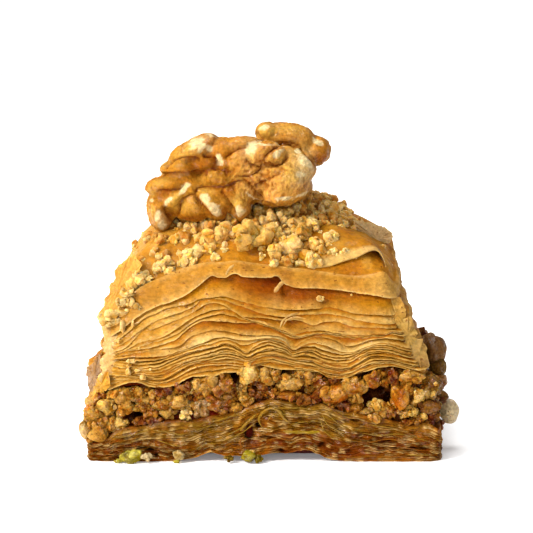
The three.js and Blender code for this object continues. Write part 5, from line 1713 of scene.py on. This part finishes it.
def make_walnut(skin):
    points, normals, faces = walnut_mesh()
    px, py = pixel_of(points)
    facing = smooth_step(-(normals @ FORWARD) * 2.5)
    distance = np.min([near_line(px, py, line) for line in CREASES], axis=0)
    crease = facing * bell(distance / CREASE_WIDTH)
    valley = facing * bell(distance / (3 * CREASE_WIDTH))
    fine = 1 - np.abs(noise(points * (1.3, 1, 1) + 0.4 * noise(points, 1, 612)[:, None], 0.85, 611))
    wrinkled = bell(np.clip(in_oval(px, py, WRINKLED), 0, 3) ** 2) * facing + 0.5 * (1 - facing)
    depth = waves(points, (0.3, 3.2, 601), (0.12, 1.3, 602)) + 0.42 * wrinkled * (fine**3 - 0.3)
    depth -= 0.3 * valley + 0.4 * crease

    tints = mottled(plain(SKIN, points), points, (SKIN_BROWN, 0.35, 0, 1.5, 3.0, 606),
                    (SKIN_LIGHT, 0.35, 0, 1.5, 2.6, 605))
    for *oval, colour, weight in TONES:
        tints = blend(tints, colour, weight * facing * bell(0.8 * in_oval(px, py, oval)))
    # Painted light and shade on the fine wrinkles: paler on their ridges, browner in their valleys.
    tints = blend(tints, SKIN_LIGHT, 0.7 * wrinkled * smooth_step(1.5 * fine**6 - 0.3))
    tints = blend(tints, SKIN_BROWN, 0.75 * wrinkled * smooth_step(1.25 - 1.6 * fine))
    veins = 1 - np.abs(noise(points, 2.8, 607)) * 16
    tints = blend(tints, SKIN_DARK, 0.45 * np.clip(veins, 0, 1))
    # Creases: a thin dark line along each, and painted shade in the wider valley beside it.
    tints = blend(tints, SKIN_DARK, np.maximum(0.35 * valley, 0.85 * crease))
    bare = facing * (1.28 - np.min([in_oval(px, py, oval) for oval in BARE], axis=0))
    elsewhere = (noise(points, 3.5, 608) - 0.5) * 2 - 3 * facing
    ragged = np.maximum(bare, elsewhere) + waves(points, (0.3, 1.1, 609), (0.4, 0.55, 610))
    tints = blend(tints, FLESH, 0.95 * smooth_step(ragged * 2 + 0.1))
    make_piece("walnut", (points + normals * depth[:, None], faces, tints), skin, ["walnut_half"])


# ---------------------------------------------------------------- light and floor

AMBIENT, BACKDROP = 0.32, 1.02  # the studio's own light on the piece, and how bright it is behind the piece
# The lamps: place and aim in metres, diameter in metres, power in watts and colour.
LAMPS = {
    "key": ((-0.62, -0.4, 0.52), (0, 0, 0.02), 0.4, 14, (1, 0.98, 0.95)),
    "top": ((-0.1, 0.15, 0.9), (0, 0, 0.02), 0.7, 8, (1, 1, 1)),
    "front_fill": ((-0.15, -0.9, 0.2), (0, 0, 0.03), 0.6, 3, (1, 1, 1)),
}
FLOOR_HALF = 0.6  # in metres
FLOOR_WHITE, FLOOR_GLOW, FLOOR_ROUGHNESS = 0.97, 0.15, 0.8


def make_lamp(name, place, aim, size, power, colour):
    data = bpy.data.lights.new(name, "AREA")
    data.shape = "DISK"
    data.size = size
    data.energy = power
    data.color = colour
    lamp = bpy.data.objects.new(name, data)
    lamp.location = place
    lamp.rotation_euler = (Vector(aim) - Vector(place)).to_track_quat("-Z", "Y").to_euler()
    bpy.context.scene.collection.objects.link(lamp)


def make_studio():
    """The plain light: even from all round, and white where the camera looks past the piece."""
    scene = bpy.context.scene
    scene.view_settings.view_transform = "Standard"
    scene.world = bpy.data.worlds.new("studio")
    scene.world.use_nodes = True
    nodes, links = scene.world.node_tree.nodes, scene.world.node_tree.links
    background = nodes["Background"]
    background.inputs["Color"].default_value = (1, 1, 1, 1)
    brightness = nodes.new("ShaderNodeMapRange")
    brightness.inputs["To Min"].default_value = AMBIENT
    brightness.inputs["To Max"].default_value = BACKDROP
    links.new(nodes.new("ShaderNodeLightPath").outputs["Is Camera Ray"], brightness.inputs["Value"])
    links.new(brightness.outputs["Result"], background.inputs["Strength"])
    for name, measures in LAMPS.items():
        make_lamp(name, *measures)


def make_floor():
    made = bpy.data.materials.new("floor")
    made.use_nodes = True
    shader = made.node_tree.nodes["Principled BSDF"]
    shader.inputs["Base Color"].default_value = (FLOOR_WHITE, FLOOR_WHITE, FLOOR_WHITE, 1)
    shader.inputs["Roughness"].default_value = FLOOR_ROUGHNESS
    shader.inputs["Emission Color"].default_value = (1, 1, 1, 1)
    shader.inputs["Emission Strength"].default_value = FLOOR_GLOW
    mesh = bpy.data.meshes.new("floor")
    corners = [(x * FLOOR_HALF, y * FLOOR_HALF, 0) for x, y in ((-1, -1), (1, -1), (1, 1), (-1, 1))]
    mesh.from_pydata(corners, [], [(0, 1, 2, 3)])
    mesh.materials.append(made)
    floor = bpy.data.objects.new("floor", mesh)
    bpy.context.scene.collection.objects.link(floor)


make_camera()
make_studio()
make_floor()
make_upper_stack(surface("golden_pastry", roughness=0.45, grain=0.3, bump=0.2, mottle=0.2, coat=0.18,
                         gloss=0.03, subsurface=0.2, stretch=1.6, speck=((96, 50, 14), 0.5, 0.7)))
make_lower_stack(surface("soaked_pastry", roughness=0.4, grain=0.28, bump=0.35, mottle=0.28, coat=0.6,
                         gloss=0.02, subsurface=0.15, stretch=2.0))
make_filling(surface("chopped_walnut", roughness=0.45, grain=0.25, bump=0.3, mottle=0.3, coat=0.8, gloss=0.03,
                     subsurface=0.4, speck=((92, 48, 16), 0.4, 0.68)))
make_topping(surface("nut_crumbs", roughness=0.5, grain=0.22, bump=0.2, mottle=0.16, coat=0.35, gloss=0.04,
                     subsurface=0.5))
make_walnut(surface("walnut_skin", roughness=0.5, grain=0.3, bump=0.25, mottle=0.22, coat=0.35, gloss=0.03,
                    subsurface=0.3))
